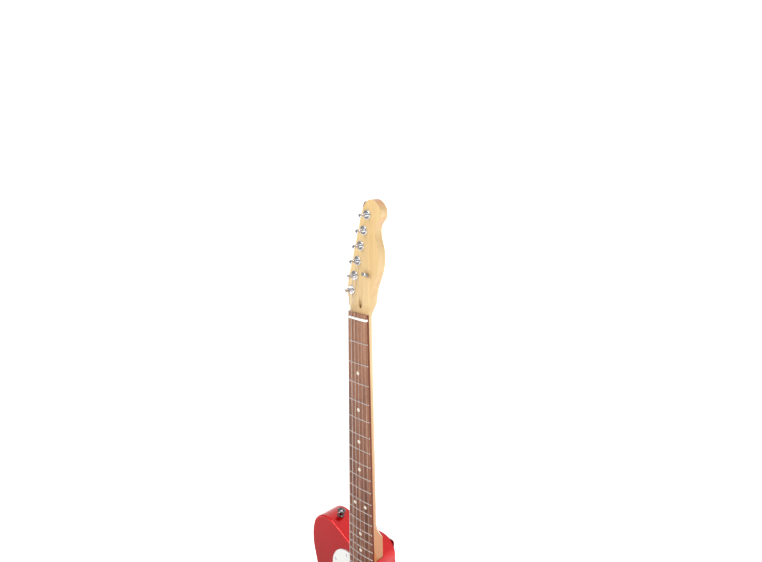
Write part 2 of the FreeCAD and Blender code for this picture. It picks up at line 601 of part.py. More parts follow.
def make_neck():
    board_bottom = size["board_thickness"]
    slab = doc.addObject("PartDesign::Body", "HeadstockSlab")
    outline = sketch_on(slab, "XZ_Plane", "-Sizes.board_thickness")
    draw_edges(outline, headstock_outline())
    pad(slab, outline, "Sizes.headstock_face + Sizes.headstock_thickness - Sizes.board_thickness",
        reverse=True)
    scoop = sketch_on(slab, "YZ_Plane", "-60")
    past = size["board_past_nut"]
    ramp = 15.0
    face = size["headstock_face"]
    start = Vector(board_bottom - 1.0, past, 0)
    foot = Vector(board_bottom, past, 0)
    bend = Vector((board_bottom + face) / 2 + 0.75, past + ramp * 0.45, 0)
    level = Vector(face, past + ramp, 0)
    draw_edges(scoop, [
        Part.LineSegment(start, foot),
        Part.Arc(foot, bend, level),
        Part.LineSegment(level, Vector(face, 200, 0)),
        Part.LineSegment(Vector(face, 200, 0), Vector(board_bottom - 1.0, 200, 0)),
        Part.LineSegment(Vector(board_bottom - 1.0, 200, 0), start),
    ])
    pocket(slab, scoop, "120", reverse=True)
    doc.recompute()

    head_clip = tool("HeadClip", Part.makeLoft([
        back_section(-0.5, 21.4, board_bottom - 2, size["neck_back_nut"] + 0.2),
        back_section(-14.0, 24.0, board_bottom - 2, HEADSTOCK_BACK + 0.3, 2.5),
        back_section(-30.0, 36.0, board_bottom - 2, HEADSTOCK_BACK + 5.0, 2.8),
        back_section(-52.0, 70.0, board_bottom - 2, HEADSTOCK_BACK + 25.0, 2.8),
        back_section(-190.0, 260.0, board_bottom - 2, HEADSTOCK_BACK + 90.0, 2.8)], True))
    head = boolean("Part::Common", "Head", slab, head_clip)

    shaft = tool("Shaft", Part.makeLoft([
        back_section(-6.0, 20.9, board_bottom, size["neck_back_nut"] - 0.1),
        back_section(10.0, half_width(10), board_bottom, size["neck_back_nut"]),
        back_section(180.0, half_width(180), board_bottom, size["neck_back_middle"]),
        back_section(345.0, half_width(345), board_bottom, size["neck_back_heel"])], True))

    heel_top = 344.5
    heel_end = size["board_length"] + 1.0
    heel = doc.addObject("PartDesign::Body", "HeelBlock")
    plan = sketch_on(heel, "XZ_Plane", "-Sizes.board_thickness")
    draw_polygon(plan, [(-half_width(heel_top), -heel_top), (-half_width(heel_end), -heel_end),
                        (half_width(heel_end), -heel_end), (half_width(heel_top), -heel_top)])
    pad(heel, plan, "Sizes.heel_back - Sizes.board_thickness", reverse=True)
    doc.recompute()
    heel_clip = tool("HeelClip", Part.makeLoft([
        back_section(heel_top, half_width(heel_top), board_bottom - 2, size["neck_back_heel"]),
        back_section(358.0, 28.6, board_bottom - 2, 24.1, 2.6),
        back_section(374.0, 36.0, board_bottom - 2, 31.0, 2.8),
        back_section(392.0, 60.0, board_bottom - 2, 55.0, 2.8),
        back_section(470.0, 120.0, board_bottom - 2, 120.0, 2.8)], True))
    foot_block = boolean("Part::Common", "Heel", heel, heel_clip)
    blank = doc.addObject("Part::MultiFuse", "NeckBlank")
    blank.Shapes = [head, shaft, foot_block]
    doc.recompute()

    holes = [cylinder(size["rod_radius"] + 0.1, Vector(0, size["rod_depth"], 12.0),
                      Vector(0, size["rod_depth"], -455.0)),
             cylinder(3.5, Vector(0, size["rod_depth"], 8.0), Vector(0, 1.4, 50.0))]
    for number in range(STRING_COUNT):
        spot = post_axis(number)
        holes.append(cylinder(size["bushing_sleeve"] + HOLE_GAP, spot, spot + Vector(0, 40, 0)))
        for side in (-1, 1):
            hole = spot + POST_LINE * (side * HOUSING_SCREW_OUT) + Vector(0, HEADSTOCK_BACK - 9.0, 0)
            holes.append(cylinder(1.3 + HOLE_GAP, hole, hole + Vector(0, 12, 0)))
    tree = Vector(size["tree_x"], face - 2, size["tree_z"])
    holes.append(cylinder(TREE_SCREW[0] + HOLE_GAP, tree, tree + Vector(0, 10, 0)))
    for spot in neck_screw_places():
        holes.append(cylinder(NECK_SCREW[0] + HOLE_GAP, spot + Vector(0, 10.5, 0),
                              spot + Vector(0, size["heel_back"] + 1, 0)))
    drilled = tool("NeckHoles", Part.makeCompound(holes))
    lay(boolean("Part::Cut", "DrilledNeck", blank, drilled), "neck")

    rod_size = {"Radius": "Sizes.rod_radius", "Height": "Sizes.board_length - 3"}
    rod = primitive("Part::Cylinder", "Rod", rod_size, Vector(0, size["rod_depth"], -452.0))
    socket = primitive("Part::Prism", "RodSocket", {"Circumradius": "Sizes.rod_radius * 0.72"},
                       Vector(0, size["rod_depth"], 2.5))
    socket.Polygon = 6
    socket.Height = 10.0
    lay(boolean("Part::Cut", "SocketedRod", rod, socket), "truss_rod")



# ---- fingerboard -----------------------------------------------------------------------------

def arched(section, wide):
    """Sweep a flat section in the YZ plane round the board's arch, symmetric about the middle."""
    angle = math.degrees(math.asin(wide / size["board_radius"]))
    centre = Vector(0, size["board_radius"], 0)
    start = section.rotate(centre, Vector(0, 0, 1), -angle) or section
    return start.revolve(centre, Vector(0, 0, 1), 2 * angle)


def fret_section(place):
    """A fret end-on: half-round crown over a straight tang."""
    half = size["fret_width"] / 2
    tang = size["tang_width"] / 2
    seat = 0.0
    left = Vector(0, seat, place - half)
    right = Vector(0, seat, place + half)
    crown = Part.Arc(left, Vector(0, -size["fret_height"], place), right).toShape()
    points = [right, Vector(0, seat, place + tang), Vector(0, size["tang_depth"], place + tang),
              Vector(0, size["tang_depth"], place - tang), Vector(0, seat, place - tang), left]
    lines = [Part.LineSegment(a, b).toShape() for a, b in zip(points, points[1:])]
    return Part.Face(Part.Wire([crown] + lines))


def slot_section(place):
    tang = size["tang_width"] / 2
    deep = size["tang_depth"]
    corners = [Vector(0, y, z) for y, z in [(-3, place - tang), (-3, place + tang),
                                            (deep, place + tang), (deep, place - tang)]]
    return Part.Face(Part.makePolygon(corners + corners[:1]))


def dot_places():
    """Centres of the markers on the playing surface, halfway between frets."""
    places = []
    for number in MARKED_FRETS + [DOUBLE_MARKED_FRET]:
        middle = -(fret_place(number) + fret_place(number - 1)) / 2
        spread = [-12.0, 12.0] if number == DOUBLE_MARKED_FRET else [0.0]
        places += [Vector(x, 0, middle) for x in spread]
    return places


def side_dot_places():
    """Centres of the markers in the fingerboard's bass edge."""
    places = []
    for number in MARKED_FRETS + [DOUBLE_MARKED_FRET]:
        middle = (fret_place(number) + fret_place(number - 1)) / 2
        shifts = [-3.0, 3.0] if number == DOUBLE_MARKED_FRET else [0.0]
        places += [Vector(-half_width(middle + s), 3.1, -middle - s) for s in shifts]
    return places


def make_board():
    plank = doc.addObject("PartDesign::Body", "BoardPlank")
    plan = sketch_on(plank, "XZ_Plane")
    top = size["board_past_nut"]
    bottom = size["board_length"]
    draw_polygon(plan, [(-half_width(bottom), -bottom), (half_width(bottom), -bottom),
                        (half_width(0), 0.0), (half_width(0), top), (-half_width(0), top),
                        (-half_width(0), 0.0)])
    pad(plank, plan, "Sizes.board_thickness", reverse=True)
    arch = primitive("Part::Cylinder", "BoardArch", {"Radius": "Sizes.board_radius", "Height": "600"},
                     Vector(0, size["board_radius"], -500))
    doc.recompute()
    curved = boolean("Part::Common", "CurvedBoard", plank, arch)
    frets = []
    cuts = []
    for number in range(1, FRET_COUNT + 1):
        place = fret_place(number)
        frets.append(arched(fret_section(-place), half_width(place) - 0.3))
        cuts.append(arched(slot_section(-place), half_width(place) + 1.0))
    wide = size["nut_width"]
    cuts.append(box((-wide, -3, 0), (wide, NUT_SEAT, size["nut_thickness"])))
    dots = []
    for spot in dot_places():
        dots.append(cylinder(size["dot_radius"], spot + Vector(0, -2, 0), spot + Vector(0, 1.8, 0)))
    for spot in side_dot_places():
        dots.append(cylinder(size["side_dot_radius"], spot - Vector(2, 0, 0), spot + Vector(2, 0, 0)))
    doc.recompute()
    inlays = []
    for dot in dots:
        inlays.append(dot.common(curved.Shape))
    cutters = tool("BoardCuts", Part.makeCompound(cuts + dots))
    lay(boolean("Part::Cut", "SlottedBoard", curved, cutters), "fretboard")
    group("frets", frets)
    group("position_markers", inlays)



def make_nut():
    """White nut in its slot: top curved like the board, one round-bottomed slot per string."""
    wide = size["nut_width"] / 2
    block = primitive("Part::Box", "NutBlock", {"Length": "Sizes.nut_width", "Height": "Sizes.nut_thickness"},
                      Vector(-wide, NUT_SEAT - 6, 0))
    block.Width = 6.0
    crown = 2.6
    arch = primitive("Part::Cylinder", "NutArch", {"Radius": f"Sizes.board_radius + {crown}", "Height": "20"},
                     Vector(0, size["board_radius"], -5))
    doc.recompute()
    curved = boolean("Part::Common", "CurvedNut", block, arch)
    slots = []
    for number in range(STRING_COUNT):
        middle = nut_point(number)
        radius = GAUGES[number] / 2 + 0.06
        slots.append(cylinder(radius, Vector(middle.x, middle.y, -1), Vector(middle.x, middle.y, 6)))
        slots.append(box((middle.x - radius, -6, -1), (middle.x + radius, middle.y, 6)))
    lay(boolean("Part::Cut", "SlottedNut", curved, tool("NutSlots", Part.makeCompound(slots))), "nut")


# ---- headstock hardware ----------------------------------------------------------------------

def make_string_tree():
    """Butterfly clip that holds the two thinnest strings down."""
    under = 2.95
    thick = 0.9
    long = 13.0
    wide = 4.6
    middle = Vector(size["tree_x"], 0, size["tree_z"])
    bar = box((-long / 2, under - thick, -wide / 2), (long / 2, under, wide / 2))
    lips = [box((side * long / 2 - 0.45, under - thick, -wide / 2),
                (side * long / 2 + 0.45, under + 1.6, wide / 2)) for side in (-1, 1)]
    stem = cylinder(2.1, Vector(0, under - 0.1, 0), Vector(0, size["headstock_face"], 0))
    hole = cylinder(TREE_SCREW[0] + HOLE_GAP, Vector(0, 0, 0), Vector(0, 20, 0))
    clip = bar.fuse(lips + [stem]).cut(hole).removeSplitter()
    clip.translate(middle)
    solid("string_tree", clip)
    head = middle + Vector(0, under - thick, 0)
    solid("string_tree_screw", placed(screw(*TREE_SCREW), head, TO_FRONT))


def make_tuners():
    housings = []
    bushings = []
    screws = []
    back = HEADSTOCK_BACK
    face = size["headstock_face"]
    deep = size["housing_depth"]
    key_y = back + size["key_depth"]
    along = 12.6
    for number in range(STRING_COUNT):
        axis = post_axis(number)
        turn = Rotation(Vector(1, 0, 0), KEY_AXIS)
        case = box((-7.0, back, -along / 2), (12.0, back + deep, along / 2))
        case = case.makeFillet(2.0, [e for e in case.Edges if e.BoundBox.YMax > back + 1])
        ears = box((-3.0, back, -12.2), (3.0, back + 2.2, 12.2))
        ears = ears.makeFillet(2.6, [e for e in ears.Edges if e.BoundBox.YLength > 1])
        neck_ring = cylinder(4.2, Vector(11.0, key_y, 0), Vector(14.5, key_y, 0))
        case = case.fuse([ears, neck_ring])
        shaft_hole = cylinder(size["key_shaft_radius"] + size["running_gap"], Vector(9.5, key_y, 0),
                              Vector(16, key_y, 0))
        post_hole = cylinder(size["post_radius"] + size["running_gap"], Vector(0, back - 1, 0),
                             Vector(0, back + deep - 2.5, 0))
        ear_holes = [cylinder(1.3 + HOLE_GAP, Vector(0, back - 1, side * HOUSING_SCREW_OUT),
                              Vector(0, back + 5, side * HOUSING_SCREW_OUT)) for side in (-1, 1)]
        case = case.cut([shaft_hole, post_hole] + ear_holes).removeSplitter()
        case = placed(case, Vector(axis.x, 0, axis.z), turn)
        housings.append(case)

        washer = cylinder(size["bushing_radius"], Vector(0, face - 2.4, 0), Vector(0, face, 0))
        washer = washer.makeFillet(1.0, [e for e in washer.Edges if e.BoundBox.YMax < face - 1])
        sleeve = cylinder(size["bushing_sleeve"], Vector(0, face - 0.5, 0), Vector(0, face + 8, 0))
        bore = cylinder(size["post_radius"] + size["running_gap"], Vector(0, 0, 0), Vector(0, 20, 0))
        bushings.append(placed(washer.fuse(sleeve).cut(bore).removeSplitter(), axis))
        for side in (-1, 1):
            spot = axis + POST_LINE * (side * HOUSING_SCREW_OUT) + Vector(0, back + 2.2, 0)
            screws.append(placed(screw(1.3, 9.5, 2.3, 0.9), spot, TO_BACK))
        make_post(number, axis, back + deep - 2.8)
        make_key(number, axis, key_y)
    group("tuner_housings", housings)
    group("tuner_bushings", bushings)
    group("tuner_screws", screws)


def make_post(number, axis, inner_end):
    """String post: plain shank in its bushing, a waist for the string, a domed head and a cross hole."""
    tip = size["post_tip"]
    radius = size["post_radius"]
    waist = size["post_waist_radius"]
    shoulder = size["headstock_face"] - 2.4
    height = inner_end - tip
    profile = [(0.0, 0.0), (radius, 0.0), (radius, inner_end - shoulder),
               (waist, inner_end - shoulder + 1.0), (waist, inner_end + 3.2),
               (radius, inner_end + 5.4), (radius, height - 1.0), (radius - 0.9, height), (0.0, height)]
    bound = {(1, "DistanceX"): "Sizes.post_radius", (4, "DistanceX"): "Sizes.post_waist_radius",
             (6, "DistanceX"): "Sizes.post_radius"}
    post = turned(f"Post{number + 1}", profile, bound)
    eye = primitive("Part::Cylinder", f"PostEye{number + 1}", {"Height": "20"},
                    Vector(-10, 0, inner_end + 1.6), Rotation(Vector(0, 0, 1), Vector(1, 0, 0)))
    eye.Radius = 0.95
    doc.recompute()
    drilled = boolean("Part::Cut", f"DrilledPost{number + 1}", post, eye)
    lay(drilled, f"tuner_post_{number + 1}", axis + Vector(0, inner_end, 0), TO_FRONT)


def make_key(number, axis, key_y):
    """Tuner key: a flat oval button on a stepped shaft that runs in the housing."""
    reach = size["key_reach"]
    name = f"Key{number + 1}"
    shaft_start = 9.8
    shaft = primitive("Part::Cylinder", name + "Shaft", {"Radius": "Sizes.key_shaft_radius",
                      "Height": f"Sizes.key_reach - {shaft_start}"}, Vector(0, 0, shaft_start))
    collar_start = 15.0
    collar = primitive("Part::Cone", name + "Collar", {"Radius1": "Sizes.key_shaft_radius + 1.4",
                       "Radius2": "Sizes.key_shaft_radius + 0.4",
                       "Height": f"Sizes.key_reach - 5 - {collar_start}"}, Vector(0, 0, collar_start))
    button = primitive("Part::Ellipsoid", name + "Button", {}, Vector(0, 0, reach))
    button.Radius1 = 6.6
    button.Radius2 = 9.6
    button.Radius3 = 4.3
    flat = primitive("Part::Box", name + "Flat", {"Width": "30", "Length": "30", "Height": "12"},
                     Vector(-15, -15, reach - 6.6))
    flat.Height = 12.2
    doc.recompute()
    oval = boolean("Part::Common", name + "Oval", button, flat)
    key = doc.addObject("Part::MultiFuse", name + "Whole")
    key.Shapes = [shaft, collar, oval]
    lay(key, f"tuner_key_{number + 1}", Vector(axis.x, key_y, axis.z), Rotation(Vector(0, 0, 1), KEY_AXIS))


# ---- bridge ----------------------------------------------------------------------------------

def make_bridge():
    top = size["body_front"] - size["bridge_plate_thickness"]
    upper = -size["bridge_top"]
    lower = upper - size["bridge_length"]
    half = size["bridge_width"] / 2
    plate = doc.addObject("PartDesign::Body", "BridgeSheet")
    plan = sketch_on(plate, "XZ_Plane", "-Sizes.body_front")
    draw_box(plan, (-half, lower), (half, upper), {"right": "Sizes.bridge_width / 2"})
    pad(plate, plan, "Sizes.bridge_plate_thickness")
    round_edges(plate, "BridgeCorners", lambda edge: edge.BoundBox.YLength > 1, "3")
    opening = sketch_on(plate, "XZ_Plane", "-Sizes.body_front + Sizes.bridge_plate_thickness")
    centre = (0, -size["bridge_pickup_place"])
    draw_slot(opening, centre, size["bridge_pickup_length"] + 1.6, size["bridge_pickup_width"] + 1.6,
              size["bridge_pickup_slant"])
    pocket(plate, opening, "Sizes.bridge_plate_thickness")
    wall = primitive("Part::Box", "BridgeWall", {"Height": "Sizes.bridge_plate_thickness",
                     "Width": "Sizes.bridge_wall_height"},
                     Vector(3 - half, size["body_front"] - size["bridge_wall_height"], lower))
    wall.Length = 2 * half - 6
    whole = doc.addObject("Part::MultiFuse", "BridgeBlank")
    whole.Shapes = [plate, wall]
    holes = []
    for spot in bridge_screw_places():
        holes.append(cylinder(BRIDGE_SCREW[0] + HOLE_GAP, spot, spot + Vector(0, 12, 0)))
    for number in range(STRING_COUNT):
        x = string_x(number, size["string_spread_bridge"])
        z = -size["string_hole_place"]
        holes.append(cylinder(1.5, Vector(x, 0, z), Vector(x, 12, z)))
        holes.append(cylinder(INTONATION_RADIUS + HOLE_GAP, Vector(x, INTONATION_Y, lower - 2),
                              Vector(x, INTONATION_Y, lower + 4)))
    for x, z in bridge_pickup_screws():
        holes.append(cylinder(1.6, Vector(x, 0, z), Vector(x, 12, z)))
    lay(boolean("Part::Cut", "DrilledBridge", whole, tool("BridgeHoles", Part.makeCompound(holes))),
        "bridge_plate")
    group("bridge_screws", [placed(screw(*BRIDGE_SCREW), spot + Vector(0, top, 0), TO_FRONT)
                            for spot in bridge_screw_places()])
    make_saddles(top, lower)



def make_saddles(plate_top, lower):
    saddles = []
    height_screws = []
    long_screws = []
    for number in range(STRING_COUNT):
        crest = saddle_point(number)
        x = crest.x
        top = crest.y + GAUGES[number] / 2 + 0.05
        wide = size["saddle_width"] / 2
        front = crest.z + 4.0
        rear = crest.z - 15.5
        block = box((x - wide, top, rear), (x + wide, plate_top - 1.3, front))
        block = block.makeFillet(1.3, [e for e in block.Edges if e.BoundBox.YMax < top + 0.01
                                       and e.BoundBox.XLength > 1])
        slot = box((x - 1.25, top - 1, rear + 3.5), (x + 1.25, plate_top, crest.z + 0.65))
        long_hole = cylinder(INTONATION_RADIUS + HOLE_GAP, Vector(x, INTONATION_Y, rear - 1),
                             Vector(x, INTONATION_Y, rear + 4))
        screw_z = crest.z - 3.0
        down = [cylinder(1.2 + HOLE_GAP, Vector(x + side * HEIGHT_SCREW_OUT, top - 2, screw_z),
                         Vector(x + side * HEIGHT_SCREW_OUT, plate_top, screw_z)) for side in (-1, 1)]
        saddles.append(block.cut([slot, long_hole] + down).removeSplitter())
        for side in (-1, 1):
            start = Vector(x + side * HEIGHT_SCREW_OUT, plate_top, screw_z)
            end = Vector(start.x, top - 0.4, screw_z)
            hexagon = Part.Face(Part.makePolygon([
                Vector(0.65 * math.cos(math.radians(60 * k)), 0.65 * math.sin(math.radians(60 * k)), 0)
                for k in range(7)])).extrude(Vector(0, 0, 2))
            socket = placed(hexagon, end + Vector(0, 1.6, 0), TO_FRONT)
            height_screws.append(cylinder(1.2, start, end).cut(socket))
        head = Vector(x, INTONATION_Y, lower - 0.05)
        length = lower - (rear + 3.3)
        long_screws.append(placed(screw(INTONATION_RADIUS, -length, 2.6, 1.6), head,
                                  Rotation(Vector(0, 0, 1), Vector(0, 0, -1))))
    group("saddles", saddles)
    group("saddle_height_screws", height_screws)
    group("intonation_screws", long_screws)


def slanted(x, z):
    """A point of the bridge pickup, from its own axes to the guitar's (x, z)."""
    angle = math.radians(size["bridge_pickup_slant"])
    return (x * math.cos(angle) - z * math.sin(angle),
            x * math.sin(angle) + z * math.cos(angle) - size["bridge_pickup_place"])


def bridge_pickup_screws():
    return [slanted(-31.5, -14.5), slanted(31.5, -14.5), slanted(0.0, 14.5)]


def slot_shape(centre, length, width, front, back, angle=0.0):
    """A round-ended slab between two depths."""
    half = (length - width) / 2
    ends = [Vector(-half, 0, 0), Vector(half, 0, 0)]
    slab = Part.makeBox(2 * half, width, back - front, Vector(-half, -width / 2, 0))
    slab = slab.fuse([Part.makeCylinder(width / 2, back - front, end) for end in ends])
    slab = slab.removeSplitter()
    turn = Rotation(Vector(1, 0, 0), -90).multiply(Rotation(Vector(0, 0, 1), -angle))
    return placed(slab, Vector(centre[0], front, centre[1]), turn)


def pole_places(centre_z, spread, angle=0.0):
    """Pole pieces under the strings, along the pickup's own length."""
    places = []
    for number in range(STRING_COUNT):
        x = string_x(number, spread)
        turn = math.radians(angle)
        places.append((x * math.cos(turn), x * math.sin(turn) + centre_z))
    return places


def make_pickups():
    angle = size["bridge_pickup_slant"]
    centre = (0, -size["bridge_pickup_place"])
    long = size["bridge_pickup_length"]
    wide = size["bridge_pickup_width"]
    face = 3.4
    top_flange = slot_shape(centre, long, wide, face, face + 2.4, angle)
    core = slot_shape(centre, long - 9, wide - 9, face + 2.4, face + 13.6, angle)
    corners = [(-35.0, -17.5), (35.0, -17.5), (29.0, 9.0), (6.0, 18.0), (-6.0, 18.0), (-29.0, 9.0)]
    outline = [Vector(*slanted(x, z), 0) for x, z in corners]
    base_wire = Part.makePolygon([Vector(v.x, face + 13.6, v.y) for v in outline + outline[:1]])
    base = Part.Face(base_wire).extrude(Vector(0, 2.4, 0))
    bobbin = top_flange.fuse([core, base])
    poles = [cylinder(2.4, Vector(x, face - 0.5, z), Vector(x, face + 17, z))
             for x, z in pole_places(-size["bridge_pickup_place"], 51.0, angle)]
    screw_holes = [cylinder(1.45, Vector(x, 0, z), Vector(x, 40, z)) for x, z in bridge_pickup_screws()]
    solid("bridge_pickup_bobbin", bobbin.cut(poles + screw_holes).removeSplitter())
    winding = slot_shape(centre, long - 3.5, wide - 3.5, face + 2.5, face + 13.5, angle)
    inner = slot_shape(centre, long - 8.9, wide - 8.9, face + 2, face + 14, angle)
    solid("bridge_pickup_coil", winding.cut(inner))
    group("bridge_pickup_poles", poles)
    top = size["body_front"] - size["bridge_plate_thickness"]
    group("bridge_pickup_screws", [placed(screw(1.4, 20.0, 2.7, 1.3), Vector(x, top, z), TO_FRONT)
                                   for x, z in bridge_pickup_screws()])

    centre = (0, -size["neck_pickup_place"])
    long = size["neck_pickup_length"]
    wide = size["neck_pickup_width"]
    face = 1.6
    deep = 17.0
    shell = slot_shape(centre, long, wide, face, face + deep)
    shell = shell.makeFillet(1.2, [e for e in shell.Edges if e.BoundBox.YMax < face + 0.01])
    wall = size["cover_wall"]
    hollow = slot_shape(centre, long - 2 * wall, wide - 2 * wall, face + wall, face + deep + 1)
    solid("neck_pickup_cover", shell.cut(hollow))
    flange = slot_shape(centre, long - 2 * wall - 0.1, wide - 2 * wall - 0.1, face + wall + 0.1, face + 3)
    core = slot_shape(centre, long - 10, wide - 9, face + 3, face + deep - 2)
    back = slot_shape(centre, long - 2 * wall - 0.1, wide - 2 * wall - 0.1, face + deep - 2, face + deep)
    tabs = slot_shape(centre, 84.0, 9.0, face + deep + 0.05, face + deep + 1.8)
    foot = slot_shape(centre, 40.0, 8.0, face + deep - 1, face + deep + 0.3)
    bobbin = flange.fuse([core, back, foot, tabs])
    holes = [cylinder(1.45, Vector(x, 0, centre[1]), Vector(x, 40, centre[1]))
             for x in (-NECK_PICKUP_SCREW, NECK_PICKUP_SCREW)]
    solid("neck_pickup_bobbin", bobbin.cut(holes).removeSplitter())
    winding = slot_shape(centre, long - 4, wide - 4, face + 3.1, face + deep - 2.1)
    inner = slot_shape(centre, long - 9.9, wide - 8.9, face + 2, face + deep)
    solid("neck_pickup_coil", winding.cut(inner))
    guard_top = size["body_front"] - size["guard_thickness"]
    group("neck_pickup_screws", [placed(screw(1.4, 17.0, 2.7, 1.3), Vector(x, guard_top, centre[1]), TO_FRONT)
                                 for x in (-NECK_PICKUP_SCREW, NECK_PICKUP_SCREW)])


NECK_PICKUP_SCREW = 38.0


# ---- pickguard and neck plate ----------------------------------------------------------------

def make_pickguard():
    gap = size["guard_gap"]
    guard = doc.addObject("PartDesign::Body", "Guard")
    plan = sketch_on(guard, "XZ_Plane", "-Sizes.body_front")
    neck_side = half_width(size["board_length"]) + gap + 0.2
    neck_end = -size["board_length"] - 1.0 - gap - 0.5
    bridge_edge = -size["bridge_top"] + gap
    bridge_side = size["bridge_width"] / 2 + 9.0
    bass_top = (-neck_side, -428.0)
    bass = [(-46.0, -425.8), (-64.0, -432.5), (-77.0, -449.0), (-81.0, -472.0), (-78.0, -498.0),
            (-69.0, -525.0), (-60.0, -550.0), (-53.5, -573.0)]
    treble = [(57.0, -576.0), (70.0, -562.5), (84.0, -545.0), (93.5, -524.0), (95.0, -502.0),
              (88.0, -484.0), (74.0, -471.5), (58.0, -468.0), (45.0, -466.5), (36.0, -459.5)]
    treble_top = (neck_side, -446.0)
    lower_left = (-bridge_side, bridge_edge)
    lower_right = (bridge_side, bridge_edge)
    corners = [treble_top, (neck_side, neck_end), (-neck_side, neck_end), bass_top]
    edges = flowing([bass_top] + bass + [lower_left], (-1.0, 0.3), (0.1, -1.0))
    edges.append(Part.LineSegment(Vector(*lower_left, 0), Vector(*lower_right, 0)))
    edges += flowing([lower_right] + treble + [treble_top], (0.3, 1.0), (-0.1, 1.0))
    edges += [Part.LineSegment(Vector(*a, 0), Vector(*b, 0)) for a, b in zip(corners, corners[1:])]
    draw_edges(plan, edges)
    pad(guard, plan, "Sizes.guard_thickness")
    opening = sketch_on(guard, "XZ_Plane", "-Sizes.body_front + Sizes.guard_thickness")
    draw_slot(opening, (0, -size["neck_pickup_place"]), size["neck_pickup_length"] + 2 * gap,
              size["neck_pickup_width"] + 2 * gap)
    pocket(guard, opening, "Sizes.guard_thickness")
    bore = SMALL_SCREW[0] + HOLE_GAP
    holes = [cylinder(bore, spot, spot + Vector(0, 12, 0)) for spot in guard_screw_places()]
    holes += [cylinder(1.5, Vector(x, 0, -size["neck_pickup_place"]), Vector(x, 12, -size["neck_pickup_place"]))
              for x in (-NECK_PICKUP_SCREW, NECK_PICKUP_SCREW)]
    cutter = tool("GuardHoles", Part.makeCompound(holes))
    lay(boolean("Part::Cut", "DrilledGuard", guard, cutter), "pickguard")
    top = size["body_front"] - size["guard_thickness"]
    group("pickguard_screws", [placed(screw(*SMALL_SCREW), spot + Vector(0, top, 0), TO_FRONT)
                               for spot in guard_screw_places()])


def make_neck_plate():
    thick = 2.0
    plate = doc.addObject("PartDesign::Body", "BoltPlate")
    plan = sketch_on(plate, "XZ_Plane", "-Sizes.body_front - Sizes.body_thickness")
    across = size["plate_width"] / 2
    along = size["plate_length"] / 2
    middle = -size["plate_place"]
    draw_box(plan, (-across, middle - along), (across, middle + along), {"right": "Sizes.plate_width / 2"})
    pad(plate, plan, "2", reverse=True)
    round_edges(plate, "PlateCorners", lambda edge: edge.BoundBox.YLength > 1, "5")
    round_edges(plate, "PlateRim", lambda edge: edge.BoundBox.YMin > BODY_BACK + thick - 0.01, "0.7")
    holes = [cylinder(NECK_SCREW[0] + HOLE_GAP, spot + Vector(0, 40, 0), spot + Vector(0, 70, 0))
             for spot in neck_screw_places()]
    cutter = tool("PlateHoles", Part.makeCompound(holes))
    lay(boolean("Part::Cut", "DrilledPlate", plate, cutter), "neck_plate")
    group("neck_screws", [placed(screw(*NECK_SCREW), spot + Vector(0, BODY_BACK + thick, 0), TO_BACK)
                          for spot in neck_screw_places()])


# ---- controls --------------------------------------------------------------------------------

def make_controls():
    front = size["body_front"]
    thick = size["control_thickness"]
    x = size["control_x"]
    plate = doc.addObject("PartDesign::Body", "ControlSheet")
    plan = sketch_on(plate, "XZ_Plane", "-Sizes.body_front")
    middle = -size["control_top"] - size["control_length"] / 2
    draw_slot(plan, (x, middle), size["control_length"], size["control_width"], 90.0)
    pad(plate, plan, "Sizes.control_thickness")
    slot = sketch_on(plate, "XZ_Plane", "-Sizes.body_front + Sizes.control_thickness")
    draw_slot(slot, (x, -size["switch_place"]), 22.0, 3.4, 90.0)
    pocket(plate, slot, "Sizes.control_thickness")
    bore = SMALL_SCREW[0] + HOLE_GAP
    holes = [cylinder(bore, spot, spot + Vector(0, 12, 0)) for spot in control_screw_places()]
    for place in (size["volume_place"], size["tone_place"]):
        holes.append(cylinder(POT_BUSHING, Vector(x, 0, -place), Vector(x, 12, -place)))
    for spot in switch_screw_places():
        holes.append(cylinder(1.5, spot, spot + Vector(0, 12, 0)))
    lay(boolean("Part::Cut", "DrilledControls", plate, tool("ControlHoles", Part.makeCompound(holes))),
        "control_plate")
    top = front - thick
    group("control_plate_screws", [placed(screw(*SMALL_SCREW), spot + Vector(0, top, 0), TO_FRONT)
                                   for spot in control_screw_places()])
    pots = []
    nuts = []
    for name, place in (("volume", size["volume_place"]), ("tone", size["tone_place"])):
        axis = Vector(x, 0, -place)
        case = cylinder(12.0, axis + Vector(0, front + 0.6, 0), axis + Vector(0, front + 10, 0))
        case = case.makeFillet(1.0, [e for e in case.Edges if e.BoundBox.YMin > front + 9])
        bushing_top = axis + Vector(0, front - 5.2, 0)
        bushing = cylinder(POT_BUSHING - 0.05, bushing_top, axis + Vector(0, front + 1, 0))
        bore = cylinder(size["pot_shaft_radius"] + size["running_gap"], axis + Vector(0, -10, 0),
                        axis + Vector(0, front + 6.5, 0))
        pots.append(case.fuse(bushing).cut(bore).removeSplitter())
        nut = Part.Face(Part.makePolygon([Vector(7.2 * math.cos(math.radians(60 * k)),
                                                 7.2 * math.sin(math.radians(60 * k)), 0)
                                          for k in range(7)])).extrude(Vector(0, 0, 2.2))
        nut = placed(nut, axis + Vector(0, top - 0.02, 0), TO_FRONT)
        nuts.append(nut.cut(cylinder(POT_BUSHING, axis, axis + Vector(0, 20, 0))))
        make_knob(name, axis)
    group("control_pots", pots)
    group("panel_nuts", nuts + [make_jack()])
    make_switch(x, top)


POT_BUSHING = 4.7
KNURLS = 44


def switch_screw_places():
    return [Vector(size["control_x"], 0, -size["switch_place"] + dz) for dz in (-14.5, 14.5)]


